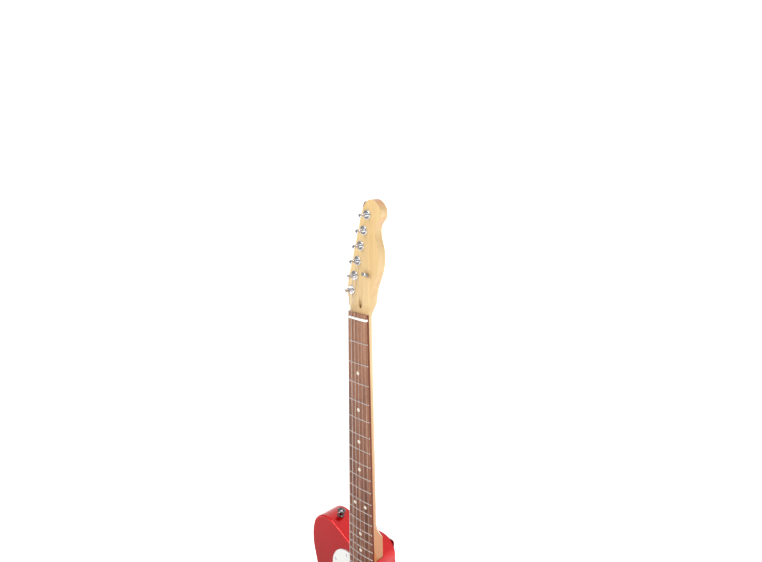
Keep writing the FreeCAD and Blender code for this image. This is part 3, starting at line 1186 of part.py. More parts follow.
def make_knob(name, axis):
    """A control's turning shaft and its knurled flat-top knob; the knob's skirt hides the nut."""
    front = size["body_front"]
    foot = size["body_front"] - size["control_thickness"] - 0.7
    shaft = primitive("Part::Cylinder", name + "Stem", {"Radius": "Sizes.pot_shaft_radius",
                      "Height": "Sizes.body_front + 6.3 + 5.0"})
    doc.recompute()
    lay(shaft, name + "_shaft", axis + Vector(0, front + 6.3, 0), TO_FRONT)
    body = doc.addObject("PartDesign::Body", name + "Cap")
    ring = sketch_on(body, "XY_Plane")
    points = []
    for step in range(KNURLS * 2):
        angle = math.pi * step / KNURLS
        radius = size["knob_radius"] - (size["knurl_depth"] if step % 2 else 0.0)
        points.append((radius * math.cos(angle), radius * math.sin(angle)))
    draw_polygon(ring, points)
    pad(body, ring, "Sizes.knob_height")
    corner = sketch_on(body, "XZ_Plane")
    high = size["knob_height"]
    wide = size["knob_radius"]
    bevel = 0.9
    draw_polygon(corner, [(wide - bevel, high), (wide, high - bevel), (wide + 1, high - bevel),
                          (wide + 1, high + 0.5), (wide - bevel, high + 0.5)])
    edge = body.newObject("PartDesign::Groove", name + "Edge")
    edge.Profile = corner
    edge.ReferenceAxis = (corner, ["V_Axis"])
    edge.Angle = 360.0
    skirt = sketch_on(body, "XY_Plane")
    draw_circle(skirt, (0, 0), "Sizes.knob_radius - 1.7")
    pocket(body, skirt, "3.6", reverse=True)
    hole = sketch_on(body, "XY_Plane")
    draw_circle(hole, (0, 0), "Sizes.pot_shaft_radius")
    pocket(body, hole, "Sizes.knob_shaft_hole", reverse=True)
    lay(body, name + "_knob", axis + Vector(0, foot, 0), TO_FRONT)


def make_switch(x, plate_top):
    """Three-way blade switch: frame under the plate, lever through its slot, tip on the lever."""
    pivot = Vector(x, size["switch_pivot_depth"], -size["switch_place"])
    plate_back = size["body_front"]
    strap = box((-9.5, plate_back, -17.5), (9.5, plate_back + 1.5, 17.5))
    strap = strap.cut(box((-1.7, 0, -11.0), (1.7, 20, 11.0)))
    cheeks = [box((side * 3.0 - 1.0, plate_back + 1.4, -10.0), (side * 3.0 + 1.0, pivot.y + 6, 10.0))
              for side in (-1, 1)]
    wafer = box((-8.0, pivot.y + 5.9, -17.5), (8.0, pivot.y + 8.4, 17.5))
    frame = strap.fuse(cheeks + [wafer])
    pin = cylinder(1.2, Vector(-4.6, pivot.y, 0), Vector(4.6, pivot.y, 0))
    cuts = [cylinder(1.2 + size["running_gap"], Vector(-12, pivot.y, 0), Vector(12, pivot.y, 0))]
    cuts += [cylinder(1.45, Vector(0, 0, dz), Vector(0, 14, dz)) for dz in (-14.5, 14.5)]
    frame = frame.cut(cuts).removeSplitter()
    frame.translate(Vector(x, 0, pivot.z))
    solid("switch_frame", frame)
    lever_tip = plate_top - 13.0
    lever = box((-0.75, lever_tip, -2.6), (0.75, pivot.y + 2.6, 2.6))
    lever = lever.fuse([cylinder(3.4, Vector(-1.6, pivot.y, 0), Vector(1.6, pivot.y, 0)), pin])
    lever.translate(Vector(x, 0, pivot.z))
    solid("switch_lever", lever.removeSplitter())
    cap = Part.makeCylinder(4.4, 12.0)
    cap = cap.makeFillet(1.6, [e for e in cap.Edges if e.BoundBox.ZMin > 11])
    cap = cap.cut(box((-0.77, -2.62, -1), (0.77, 2.62, 8.5)))
    solid("switch_tip", placed(cap, Vector(x, lever_tip + 8.4, pivot.z), TO_FRONT))
    group("switch_screws", [placed(screw(1.4, 6.0, 2.6, 1.2), spot + Vector(0, plate_top, 0), TO_FRONT)
                            for spot in switch_screw_places()])


# ---- jack, strap buttons, ferrules -----------------------------------------------------------

def make_jack():
    """Round cup let into the treble rim, with the jack's threaded mouth; returns the jack's nut."""
    rim = Vector(size["jack_rim_x"], BODY_MIDDLE, -size["jack_place"])
    out = Rotation(Vector(0, 0, 1), Vector(1, 0, 0))
    flange = size["jack_cup_radius"]
    profile = [(4.9, -9.5), (4.9, -8.0), (8.2, -8.0), (9.6, 1.6), (flange - 0.6, 1.6), (flange, 1.0),
               (flange, 0.0), (10.6, 0.0), (9.9, -9.5)]
    cup = turned("Cup", profile, {(6, "DistanceX"): "Sizes.jack_cup_radius"})
    lay(cup, "jack_cup", rim, out)
    sleeve = Part.makeCylinder(4.8, 16.0, Vector(0, 0, -20.0))
    case = Part.makeCylinder(9.0, 16.0, Vector(0, 0, -32.0))
    case = case.cut(Part.makeCylinder(7.5, 13.0, Vector(0, 0, -31.0)))
    shelf = Part.makeCylinder(9.0, 2.0, Vector(0, 0, -18.0))
    bore = Part.makeCylinder(size["jack_bore"], 40.0, Vector(0, 0, -30.0))
    jack = case.fuse([sleeve, shelf]).cut(bore).removeSplitter()
    solid("jack_socket", placed(jack, rim, out))
    nut = Part.Face(Part.makePolygon([Vector(7.0 * math.cos(math.radians(60 * k)),
                                             7.0 * math.sin(math.radians(60 * k)), 0)
                                      for k in range(7)])).extrude(Vector(0, 0, 2.2))
    nut.translate(Vector(0, 0, -7.98))
    return placed(nut.cut(Part.makeCylinder(4.85, 20.0, Vector(0, 0, -15))), rim, out)


def make_strap_buttons():
    buttons = []
    recesses = []
    screws = []
    high = size["button_height"]
    head = size["button_head_radius"]
    waist = size["button_waist_radius"]
    hole = STRAP_SCREW[0] + HOLE_GAP
    corners = [(hole, 0.0), (6.4, 0.0), (6.4, 1.0), (waist, 2.6), (waist, 6.6), (head - 0.8, 8.0),
               (head, 8.3), (head, high - 0.8), (head - 0.8, high), (3.9, high), (hole, high - 1.8)]
    section = Part.Face(Part.makePolygon([Vector(r, 0, z) for r, z in corners + corners[:1]]))
    button = section.revolve(Vector(), Vector(0, 0, 1), 360)
    for number in range(2):
        foot, axis = strap_seat(number)
        turn = Rotation(Vector(0, 0, 1), axis)
        lift = 0.35 if number == 0 else 0.0
        buttons.append(placed(button, foot + axis * lift, turn))
        top = foot + axis * (lift + high - 1.9)
        recesses.append(placed(Part.makeCylinder(3.5, 3.0), top, turn))
        screws.append(placed(screw(STRAP_SCREW[0], STRAP_SCREW[1], 3.4, 1.5), top, turn))
    group("strap_buttons", [button.cut(recess) for button, recess in zip(buttons, recesses)])
    group("strap_screws", screws)


def make_ferrules():
    ferrules = []
    deep = size["ferrule_length"]
    for number in range(STRING_COUNT):
        x = string_x(number, size["string_spread_bridge"])
        start = Vector(x, BODY_BACK, -size["string_hole_place"])
        sleeve = cylinder(size["ferrule_radius"], start - Vector(0, deep - 0.1, 0), start)
        flange = cylinder(size["ferrule_flange"], start, start + Vector(0, 0.9, 0))
        flange = flange.makeFillet(0.5, [e for e in flange.Edges if e.BoundBox.YMin > start.y + 0.5])
        bore = cylinder(BALL_RADIUS + 0.3, start - Vector(0, deep - 2.5, 0), start + Vector(0, 3, 0))
        narrow = cylinder(1.3, start - Vector(0, deep + 1, 0), start + Vector(0, 3, 0))
        ferrules.append(sleeve.fuse(flange).cut([bore, narrow]).removeSplitter())
    group("string_ferrules", ferrules)



# ---- strings ---------------------------------------------------------------------------------

def string_route(number):
    """Corners of a string's way: ball in its ferrule, plate hole, saddle, nut, post, with bend radii."""
    radius = GAUGES[number] / 2
    saddle = saddle_point(number)
    nut = nut_point(number)
    post = post_axis(number)
    ball_y = BODY_BACK - size["ferrule_length"] + 2.6 + BALL_RADIUS
    start = Vector(saddle.x, ball_y, -size["string_hole_place"])
    plate = Vector(saddle.x, size["body_front"] - size["bridge_plate_thickness"] / 2, start.z)
    points = [start, plate, saddle, nut]
    bends = [2.0, 1.4, 3.0]
    side = size["post_waist_radius"] + radius + 0.12
    if number >= STRING_COUNT - 2:
        tree_x = size["tree_x"] + (3.6 if number == STRING_COUNT - 1 else -3.6)
        points.append(Vector(tree_x, 2.95 + radius + 0.05, size["tree_z"]))
        bends.append(6.0)
    points.append(Vector(post.x + side, 0.9 - radius, post.z))
    return points, bends


def make_string(number):
    points, bends = string_route(number)
    edges = []
    here = points[0]
    for index, bend in enumerate(bends, 1):
        corner = points[index]
        before = (points[index - 1] - corner).normalize()
        after = (points[index + 1] - corner).normalize()
        turn = math.pi - before.getAngle(after)
        reach = bend * math.tan(turn / 2)
        first = corner + before * reach
        last = corner + after * reach
        inward = (before + after).normalize()
        middle = corner + inward * (bend / math.cos(turn / 2) - bend)
        edges.append(Part.LineSegment(here, first).toShape())
        edges.append(Part.Arc(first, middle, last).toShape())
        here = last
    edges.append(Part.LineSegment(here, points[-1]).toShape())
    path = Part.Wire(edges)
    radius = GAUGES[number] / 2
    start_way = (points[1] - points[0]).normalize()
    ring = Part.Wire(Part.makeCircle(radius, points[0], start_way))
    wire = path.makePipeShell([ring], True, False)
    wanted = math.pi * radius ** 2 * path.Length
    if abs(wire.Volume / wanted - 1) > 0.02:
        raise RuntimeError(f"string {number + 1} has volume {wire.Volume:.1f}, not {wanted:.1f}")
    ball = Part.makeSphere(BALL_RADIUS, points[0])
    return wire.fuse(ball)


def make_strings():
    strings = [make_string(number) for number in range(STRING_COUNT)]
    group("wound_strings", strings[:WOUND_STRINGS])
    group("plain_strings", strings[WOUND_STRINGS:])


# ---- assembly --------------------------------------------------------------------------------

make_body()
make_neck()
make_board()
make_nut()
make_string_tree()
make_tuners()
make_bridge()
make_pickups()
make_pickguard()
make_neck_plate()
make_controls()
make_strap_buttons()
make_ferrules()
make_strings()
doc.recompute()

for thing in doc.Objects:
    if "Invalid" in thing.State or "Error" in thing.State:
        raise RuntimeError(f"{thing.Name} ({thing.Label}) failed: {thing.State}")
for sub_part in sub_parts:
    if sub_part.Shape.isNull() or not sub_part.Shape.isValid():
        raise RuntimeError(f"{sub_part.Label} has no valid shape")
os.makedirs("parts", exist_ok=True)
for sub_part in sub_parts:
    sub_part.Shape.exportStep(f"parts/{sub_part.Label}.step")
print(len(sub_parts), "sub-parts written")
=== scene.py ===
"""Looks of a single-cutaway electric guitar, laid out as a Blender add-on and run as a script.

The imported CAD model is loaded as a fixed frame. The operators give each of its parts a finish,
add the small wound pieces that the CAD leaves out, and set up a plain studio.
"""
import math

import bmesh
import bpy
from bpy.props import FloatProperty, FloatVectorProperty, IntProperty, PointerProperty
from mathutils import Matrix, Vector


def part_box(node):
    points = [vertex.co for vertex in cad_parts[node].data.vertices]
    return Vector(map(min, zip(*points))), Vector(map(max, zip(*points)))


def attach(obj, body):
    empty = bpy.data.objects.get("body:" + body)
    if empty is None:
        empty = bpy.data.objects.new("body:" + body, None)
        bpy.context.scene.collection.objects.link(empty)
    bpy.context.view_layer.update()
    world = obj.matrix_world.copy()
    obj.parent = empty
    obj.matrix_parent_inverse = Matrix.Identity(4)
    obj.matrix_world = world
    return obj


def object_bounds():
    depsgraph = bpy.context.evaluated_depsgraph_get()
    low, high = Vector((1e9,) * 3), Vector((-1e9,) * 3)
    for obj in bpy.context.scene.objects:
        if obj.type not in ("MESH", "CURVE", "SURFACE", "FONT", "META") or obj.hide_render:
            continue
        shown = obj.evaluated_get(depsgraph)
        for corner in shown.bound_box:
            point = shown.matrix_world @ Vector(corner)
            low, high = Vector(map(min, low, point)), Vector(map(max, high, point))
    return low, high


bl_info = {
    "name": "Electric Guitar",
    "version": (1, 0, 0),
    "blender": (4, 5, 0),
    "location": "View3D > Sidebar > Guitar",
    "description": "Finishes, string windings and a studio for a bolt-neck electric guitar",
    "category": "Object",
}

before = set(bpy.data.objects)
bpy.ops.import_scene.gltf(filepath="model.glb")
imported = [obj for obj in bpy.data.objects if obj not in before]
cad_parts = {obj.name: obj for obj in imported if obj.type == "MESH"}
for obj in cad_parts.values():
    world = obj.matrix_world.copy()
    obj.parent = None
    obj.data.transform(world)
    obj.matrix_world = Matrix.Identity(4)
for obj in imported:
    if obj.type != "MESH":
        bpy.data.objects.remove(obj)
CAD_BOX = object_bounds()

MM = 0.001
STRING_COUNT = 6
GAUGES = [1.17, 0.91, 0.66, 0.43, 0.33, 0.25]
WOUND = 3

# Sockets of a mix node that holds colours: its factor and two colours, and its result.
MIX_COLOUR_INPUTS = (0, 6, 7)
MIX_COLOUR_OUTPUT = 2

# A wire's rounded end: how far past the end each ring stands, and its size, in wire radii.
WIRE_END = ((0.3, 0.9), (0.55, 0.6))

# String post: the playing surface, the string's first turn and the eye, from the post's tip.
POST_SURFACE = 8.6 * MM
POST_FIRST_TURN = POST_SURFACE + 0.9 * MM
POST_EYE = POST_SURFACE - 1.6 * MM
WRAP_GAP = 0.08 * MM
WRAP_STEPS = 40
MOST_TURNS = 4
# The tail's way through the eye: across in wrap radii, and up in wire diameters.
TAIL_ROUTE = [(-0.93, -0.34), (-0.72, -0.42), (-0.45, -0.20), (-0.15, -0.03), (0.2, 0.0), (0.7, 0.0),
              (1.28, 0.0)]

# Bridge: its folded wall's thickness with the spring's seat, and half the spread of the strings.
BRIDGE_WALL = 2.0 * MM
HALF_SPREAD = 26.25 * MM
SPRING_SIDES = 10
SPRING_STEPS = 26

# Lights: place, and size across. Both look at the middle of the guitar.
LIGHT_AIM = (0.0, 0.0, -0.35)
KEY_LIGHT = ((-0.25, -1.5, 0.8), 0.9)
SIDE_LIGHT = ((1.5, -0.1, 0.8), 0.7)

# Surroundings ahead of the guitar: height of the view from 0 to 1, and tone. Behind it they are white.
FRONT_TONES = [(0.04, 0.30), (0.16, 0.34), (0.24, 0.06), (0.46, 0.05), (0.58, 0.75), (0.90, 0.6)]
FRONT_FROM = 0.05
FRONT_TO = -0.25

# Floor tone in its painted soft shade, and how much light the floor adds there and elsewhere.
PAINTED_SHADE_TONE = (0.40, 0.40, 0.40)
FLOOR_GLOW = (0.05, 0.75)

# The floor is a square, mostly behind the guitar: half its side, and how far it comes forward.
FLOOR_HALF = 60.0
FLOOR_AHEAD = 3.0

CHROME_NODES = ["string_tree_screw", "neck_plate", "neck_screws", "pickguard_screws",
                "neck_pickup_cover", "neck_pickup_screws", "bridge_screws", "saddles",
                "bridge_pickup_screws", "control_plate_screws", "switch_screws", "volume_knob",
                "tone_knob", "panel_nuts", "jack_cup", "strap_screws", "string_ferrules",
                "tuner_housings", "tuner_bushings", "tuner_screws"]
CHROME_NODES += [f"tuner_post_{k + 1}" for k in range(STRING_COUNT)]
CHROME_NODES += [f"tuner_key_{k + 1}" for k in range(STRING_COUNT)]
PLATE_NODES = ["bridge_plate", "control_plate"]
STEEL_NODES = ["saddle_height_screws", "intonation_screws", "bridge_pickup_poles",
               "switch_frame", "switch_lever", "control_pots", "jack_socket"]
ALUMINIUM_NODES = ["volume_shaft", "tone_shaft"]
BLACK_NODES = ["neck_pickup_bobbin", "bridge_pickup_bobbin", "switch_tip"]
COIL_NODES = ["neck_pickup_coil", "bridge_pickup_coil"]


# ---- sizes and colours that a user would change ---------------------------------------------------

def colour(label, about, value):
    return FloatVectorProperty(name=label, description=about, subtype="COLOR", size=3,
                               min=0.0, max=1.0, default=value)


class GuitarFinish(bpy.types.PropertyGroup):
    """Colours of the guitar's finishes."""
    lacquer: colour("Lacquer", "Body lacquer, looking straight at it", (0.72, 0.004, 0.006))
    lacquer_edge: colour("Lacquer, grazing", "Body lacquer, looking along it", (0.40, 0.002, 0.006))
    maple: colour("Maple", "Pale wood of the headstock and neck", (0.76, 0.57, 0.29))
    maple_grain: colour("Maple grain", "Darker growth lines of the maple", (0.60, 0.35, 0.12))
    maple_amber: colour("Maple, amber", "End grain and the darker wood at the heel", (0.50, 0.155, 0.025))
    board: colour("Fingerboard", "Main tone of the fingerboard", (0.205, 0.078, 0.045))
    board_light: colour("Fingerboard, light", "Lighter streaks of the fingerboard", (0.44, 0.22, 0.125))
    board_dark: colour("Fingerboard, dark", "Darker streaks of the fingerboard", (0.085, 0.030, 0.018))
    board_side: colour("Fingerboard, side", "Edges of the fingerboard", (0.15, 0.018, 0.004))
    fret: colour("Frets", "Nickel silver of the frets", (0.78, 0.64, 0.58))
    chrome: colour("Chrome", "Plated hardware", (0.80, 0.80, 0.82))
    strings: colour("Strings", "Nickel and steel of the strings", (0.62, 0.56, 0.55))
    nut: colour("Nut", "Synthetic bone of the nut", (0.93, 0.92, 0.88))
    guard: colour("Pickguard", "Outer plies of the pickguard", (0.86, 0.86, 0.83))
    inlay: colour("Markers", "Position markers", (0.80, 0.72, 0.58))


class GuitarDetail(bpy.types.PropertyGroup):
    """Sizes of the guitar's small made pieces."""
    post_waist: FloatProperty(name="Post waist", description="Radius of a string post where the string winds",
                              default=2.5 * MM, min=1 * MM, max=4 * MM, unit="LENGTH", precision=5)
    wire_sides: IntProperty(name="Wire sides", description="Faces round a wire", default=14, min=6, max=48)
    spring_wire: FloatProperty(name="Spring wire", description="Wire radius of an intonation spring",
                               default=0.28 * MM, min=0.1 * MM, max=0.6 * MM, unit="LENGTH", precision=5)
    spring_radius: FloatProperty(name="Spring radius", description="Middle radius of an intonation spring",
                                 default=2.0 * MM, min=1 * MM, max=4 * MM, unit="LENGTH", precision=5)
    spring_turns: FloatProperty(name="Spring turns", description="Turns of an intonation spring",
                                default=13.0, min=3.0, max=30.0)
    edge: FloatProperty(name="Edge softening", description="Small round on the hardware's sheet edges",
                        default=0.25 * MM, min=0.0, max=1 * MM, unit="LENGTH", precision=5)


class GuitarStudio(bpy.types.PropertyGroup):
    """Floor, light and camera."""
    floor_gap: FloatProperty(name="Floor gap", description="From the guitar's tail down to the floor",
                             default=0.07, min=0.0, max=1.0, unit="LENGTH")
    backdrop: FloatProperty(name="Backdrop", description="Strength of the pale surroundings",
                            default=1.06, min=0.0, max=5.0)
    key_power: FloatProperty(name="Key light", description="Power of the main soft light",
                             default=21.0, min=0.0, max=500.0, unit="POWER")
    side_power: FloatProperty(name="Side light", description="Power of the light from the treble side",
                              default=4.0, min=0.0, max=500.0, unit="POWER")
    # The floor's soft shade is painted: a disc of darker floor tone and weaker glow that no lamp casts.
    painted_shade_place: FloatVectorProperty(name="Shade", description="Middle of the floor's soft shade in front",
                                    subtype="TRANSLATION", size=3, default=(-0.32, -0.38, -0.92))
    painted_shade_radius: FloatProperty(name="Shade radius", description="Radius of the floor's soft shade",
                               default=0.75, min=0.1, max=5.0, unit="LENGTH")
    camera_place: FloatVectorProperty(name="Camera", description="Where the camera stands",
                                      subtype="TRANSLATION", size=3, default=(0.6668, -0.6354, 0.2186))
    camera_yaw: FloatProperty(name="Yaw", description="Camera's turn to the left of +Y",
                              subtype="ANGLE", default=math.radians(44.72))
    camera_pitch: FloatProperty(name="Pitch", description="Camera's tilt below the horizon",
                                subtype="ANGLE", default=math.radians(12.44))
    camera_roll: FloatProperty(name="Roll", description="Camera's turn about its own view",
                               subtype="ANGLE", default=math.radians(-0.40))
    camera_lens: FloatProperty(name="Lens", description="Focal length on a 36 mm wide sensor",
                               default=29.29, min=10.0, max=200.0)


# ---- material building ----------------------------------------------------------------------------

class Finish:
    """A material's node tree, with short calls for the nodes that the guitar's finishes share."""

    def __init__(self, name):
        self.material = bpy.data.materials.new(name)
        self.material.use_nodes = True
        self.tree = self.material.node_tree
        self.tree.nodes.clear()
        output = self.tree.nodes.new("ShaderNodeOutputMaterial")
        self.shader = self.tree.nodes.new("ShaderNodeBsdfPrincipled")
        self.tree.links.new(self.shader.outputs["BSDF"], output.inputs["Surface"])
        self.coordinates = self.tree.nodes.new("ShaderNodeTexCoord")

    def set(self, **sockets):
        """Constants on the shader's own sockets; underscores stand for spaces."""
        for name, value in sockets.items():
            self.shader.inputs[name.replace("_", " ")].default_value = value
        return self

    def drive(self, source, socket):
        self.tree.links.new(source, self.shader.inputs[socket])

    def stretched(self, scale):
        """The part's own coordinates, in metres, scaled along each axis."""
        mapping = self.tree.nodes.new("ShaderNodeMapping")
        mapping.inputs["Scale"].default_value = scale
        self.tree.links.new(self.coordinates.outputs["Object"], mapping.inputs["Vector"])
        return mapping.outputs["Vector"]

    def axis(self, name, which="Object"):
        """One coordinate of the surface point, or of its normal."""
        split = self.tree.nodes.new("ShaderNodeSeparateXYZ")
        self.tree.links.new(self.coordinates.outputs[which], split.inputs["Vector"])
        return split.outputs[name]

    def distance(self, place):
        """How far the surface point is from a place, in metres."""
        node = self.tree.nodes.new("ShaderNodeVectorMath")
        node.operation = "DISTANCE"
        node.inputs[1].default_value = place
        self.tree.links.new(self.coordinates.outputs["Object"], node.inputs[0])
        return node.outputs["Value"]

    def noise(self, vector, scale, detail=4.0, roughness=0.5, distortion=0.0):
        node = self.tree.nodes.new("ShaderNodeTexNoise")
        node.inputs["Scale"].default_value = scale
        node.inputs["Detail"].default_value = detail
        node.inputs["Roughness"].default_value = roughness
        node.inputs["Distortion"].default_value = distortion
        self.tree.links.new(vector, node.inputs["Vector"])
        return node.outputs["Fac"]

    def wave(self, vector, scale, direction, distortion=0.0, detail=2.0):
        node = self.tree.nodes.new("ShaderNodeTexWave")
        node.bands_direction = direction
        node.inputs["Scale"].default_value = scale
        node.inputs["Distortion"].default_value = distortion
        node.inputs["Detail"].default_value = detail
        self.tree.links.new(vector, node.inputs["Vector"])
        return node.outputs["Fac"]

    def cells(self, vector, scale):
        node = self.tree.nodes.new("ShaderNodeTexVoronoi")
        node.inputs["Scale"].default_value = scale
        self.tree.links.new(vector, node.inputs["Vector"])
        return node.outputs["Distance"], node.outputs["Color"]

    def ramp(self, source, stops):
        """Colours or greys at places from 0 to 1."""
        node = self.tree.nodes.new("ShaderNodeValToRGB")
        elements = node.color_ramp.elements
        while len(elements) < len(stops):
            elements.new(0.5)
        for element, (place, tone) in zip(elements, stops):
            element.position = place
            shade = (tone, tone, tone) if isinstance(tone, float) else tuple(tone)
            element.color = (*shade, 1.0)
        self.tree.links.new(source, node.inputs["Fac"])
        return node.outputs["Color"]

    def spread(self, source, low, high, to_low=0.0, to_high=1.0):
        """The source's range from low to high, taken to another range and kept inside it."""
        node = self.tree.nodes.new("ShaderNodeMapRange")
        for socket, value in (("From Min", low), ("From Max", high), ("To Min", to_low), ("To Max", to_high)):
            node.inputs[socket].default_value = value
        self.tree.links.new(source, node.inputs["Value"])
        return node.outputs["Result"]

    def maths(self, operation, first, second=None):
        node = self.tree.nodes.new("ShaderNodeMath")
        node.operation = operation
        for socket, value in zip(node.inputs, (first, second)):
            if value is None:
                continue
            if isinstance(value, float):
                socket.default_value = value
            else:
                self.tree.links.new(value, socket)
        return node.outputs["Value"]

    def mix(self, factor, first, second, kind="MIX"):
        """Two colours, each a socket or a plain colour."""
        node = self.tree.nodes.new("ShaderNodeMix")
        node.data_type = "RGBA"
        node.blend_type = kind
        for place, value in zip(MIX_COLOUR_INPUTS, (factor, first, second)):
            socket = node.inputs[place]
            if isinstance(value, bpy.types.NodeSocket):
                self.tree.links.new(value, socket)
            elif isinstance(value, float):
                socket.default_value = value
            else:
                socket.default_value = (*value, 1.0)
        return node.outputs[MIX_COLOUR_OUTPUT]

    def bump(self, source, strength, distance, socket="Normal"):
        node = self.tree.nodes.new("ShaderNodeBump")
        node.inputs["Strength"].default_value = strength
        node.inputs["Distance"].default_value = distance
        self.tree.links.new(source, node.inputs["Height"])
        self.drive(node.outputs["Normal"], socket)
        return self

    def facing(self, blend):
        node = self.tree.nodes.new("ShaderNodeLayerWeight")
        node.inputs["Blend"].default_value = blend
        return node.outputs["Facing"]


def wear(names, finish):
    """Give CAD nodes a finish in place of their packed colour."""
    for name in names:
        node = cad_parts[name]
        node.data.materials.clear()
        node.data.materials.append(finish.material)


def metal(names, title, stretch, grain, tones, shine, dents=None):
    """Bare or plated metal on CAD nodes: fine noise varies its tone and shine, and dents it a little.

    grain is the noise's scale, detail, roughness and distortion. shine takes a range of the noise to
    a range of roughness. dents is a bump's strength and depth.
    """
    finish = Finish(title).set(Metallic=1.0)
    noise = finish.noise(finish.stretched(stretch), *grain)
    finish.drive(finish.ramp(noise, [(0.3, tones[0]), (0.7, tones[1])]), "Base Color")
    finish.drive(finish.spread(noise, *shine), "Roughness")
    if dents:
        finish.bump(noise, *dents)
    wear(names, finish)


def soften(names, width):
    """A small round on the hard edges of sheet parts."""
    for name in names:
        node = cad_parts[name]
        edge = node.modifiers.new("soft_edges", "BEVEL")
        edge.width = width
        edge.segments = 2
        edge.limit_method = "ANGLE"
        edge.angle_limit = math.radians(50)
        edge.use_clamp_overlap = True


# ---- wire pieces ----------------------------------------------------------------------------------

def wire_mesh(name, points, radius, sides):
    """A closed round wire along points, with rounded ends and its length stored for the finish."""
    mesh = bpy.data.meshes.new(name)
    shape = bmesh.new()
    along = shape.verts.layers.float.new("along")
    ahead = (points[1] - points[0]).normalized()
    across = ahead.orthogonal().normalized()
    rings = []
    run = 0.0
    last = len(points) - 1
    stations = []
    for index, point in enumerate(points):
        way = (points[min(index + 1, last)] - points[max(index - 1, 0)]).normalized()
        across = (across - way * across.dot(way)).normalized()
        if index:
            run += (point - points[index - 1]).length
        if index == 0:
            stations += [(point - way * radius * k, way, across, radius * r, run)
                         for k, r in reversed(WIRE_END)]
        stations.append((point, way, across.copy(), radius, run))
        if index == last:
            stations += [(point + way * radius * k, way, across, radius * r, run) for k, r in WIRE_END]
    for centre, way, side, wide, length in stations:
        up = way.cross(side)
        ring = []
        for k in range(sides):
            angle = 2 * math.pi * k / sides
            vert = shape.verts.new(centre + (side * math.cos(angle) + up * math.sin(angle)) * wide)
            vert[along] = length
            ring.append(vert)
        rings.append(ring)
    for low, high in zip(rings, rings[1:]):
        for k in range(sides):
            face = shape.faces.new((low[k], low[(k + 1) % sides], high[(k + 1) % sides], high[k]))
            face.smooth = True
    shape.faces.new(reversed(rings[0]))
    shape.faces.new(rings[-1])
    bmesh.ops.recalc_face_normals(shape, faces=shape.faces)
    shape.to_mesh(mesh)
    shape.free()
    piece = bpy.data.objects.new(name, mesh)
    bpy.context.scene.collection.objects.link(piece)
    return piece


def wire_finish(name, tone, pitch):
    """Metal wire; with a pitch it shows the close turns of a wound string."""
    finish = Finish(name).set(Metallic=1.0)
    dust = finish.noise(finish.stretched((1, 1, 1)), 900.0, 3.0)
    finish.drive(finish.ramp(dust, [(0.25, [c * 0.8 for c in tone]), (0.75, tone)]), "Base Color")
    finish.drive(finish.spread(dust, 0.3, 0.7, 0.20, 0.38), "Roughness")
    if pitch:
        node = finish.tree.nodes.new("ShaderNodeAttribute")
        node.attribute_name = "along"
        turns = finish.maths("SINE", finish.maths("MULTIPLY", node.outputs["Fac"], 2 * math.pi / pitch))
        finish.bump(turns, 0.6, 0.06 * MM)
    return finish


# ---- operators: finishes --------------------------------------------------------------------------

class GUITAR_OT_body(bpy.types.Operator):
    """Glossy, slightly metallic red lacquer on the body"""
    bl_idname = "guitar.body"
    bl_label = "Body lacquer"

    def execute(self, context):
        colours = context.scene.guitar_finish
        finish = Finish("lacquer_red")
        finish.set(Metallic=0.62, Specular_IOR_Level=0.10)
        finish.set(Coat_Weight=1.0, Coat_Roughness=0.025, Coat_IOR=1.38)
        here = finish.stretched((1, 1, 1))
        depth = finish.ramp(finish.facing(0.42), [(0.15, colours.lacquer), (0.85, colours.lacquer_edge)])
        distance, flake = finish.cells(here, 1600.0)
        spark = finish.ramp(flake, [(0.35, 0.86), (0.75, 1.0), (0.97, 1.25)])
        cloud = finish.ramp(finish.noise(here, 9.0, 3.0), [(0.3, 0.93), (0.7, 1.0)])
        tone = finish.mix(1.0, finish.mix(1.0, depth, spark, "MULTIPLY"), cloud, "MULTIPLY")
        finish.drive(tone, "Base Color")
        finish.drive(finish.spread(distance, 0.0, 0.8, 0.26, 0.40), "Roughness")
        finish.bump(finish.noise(here, 140.0, 2.0), 0.05, 0.15 * MM, "Coat Normal")
        wear(["body"], finish)
        return {"FINISHED"}


class GUITAR_OT_neck(bpy.types.Operator):
    """Lacquered maple on the neck: growth lines along it, amber end grain and heel"""
    bl_idname = "guitar.neck"
    bl_label = "Neck maple"

    def execute(self, context):
        colours = context.scene.guitar_finish
        finish = Finish("maple_lacquered")
        finish.set(Coat_Weight=0.5, Coat_Roughness=0.08, Specular_IOR_Level=0.35)
        broad = finish.noise(finish.stretched((1, 1, 0.10)), 60.0, 4.0, 0.55, 0.6)
        lines = finish.wave(finish.stretched((1, 0.35, 0.045)), 46.0, "X", 7.0, 3.0)
        hair = finish.noise(finish.stretched((1, 1, 0.035)), 900.0, 3.0, 0.7)
        pale = finish.mix(finish.spread(broad, 0.3, 0.75, 0.0, 0.55), colours.maple, colours.maple_grain)
        lined = finish.mix(finish.spread(lines, 0.62, 1.0, 0.0, 0.30), pale, colours.maple_grain)
        fleck = finish.mix(finish.spread(hair, 0.60, 0.80, 0.0, 0.30), lined, colours.maple_amber)
        end_grain = finish.spread(finish.maths("ABSOLUTE", finish.axis("Z", "Normal")), 0.25, 0.95, 0.0, 0.72)
        rim = finish.mix(end_grain, fleck, colours.maple_amber)
        heel = finish.spread(finish.axis("Z"), -0.42, -0.12, 0.85, 0.0)
        finish.drive(finish.mix(heel, rim, colours.maple_amber), "Base Color")
        finish.drive(finish.spread(broad, 0.2, 0.8, 0.24, 0.36), "Roughness")
        finish.bump(hair, 0.08, 0.08 * MM)
        wear(["neck"], finish)
        return {"FINISHED"}


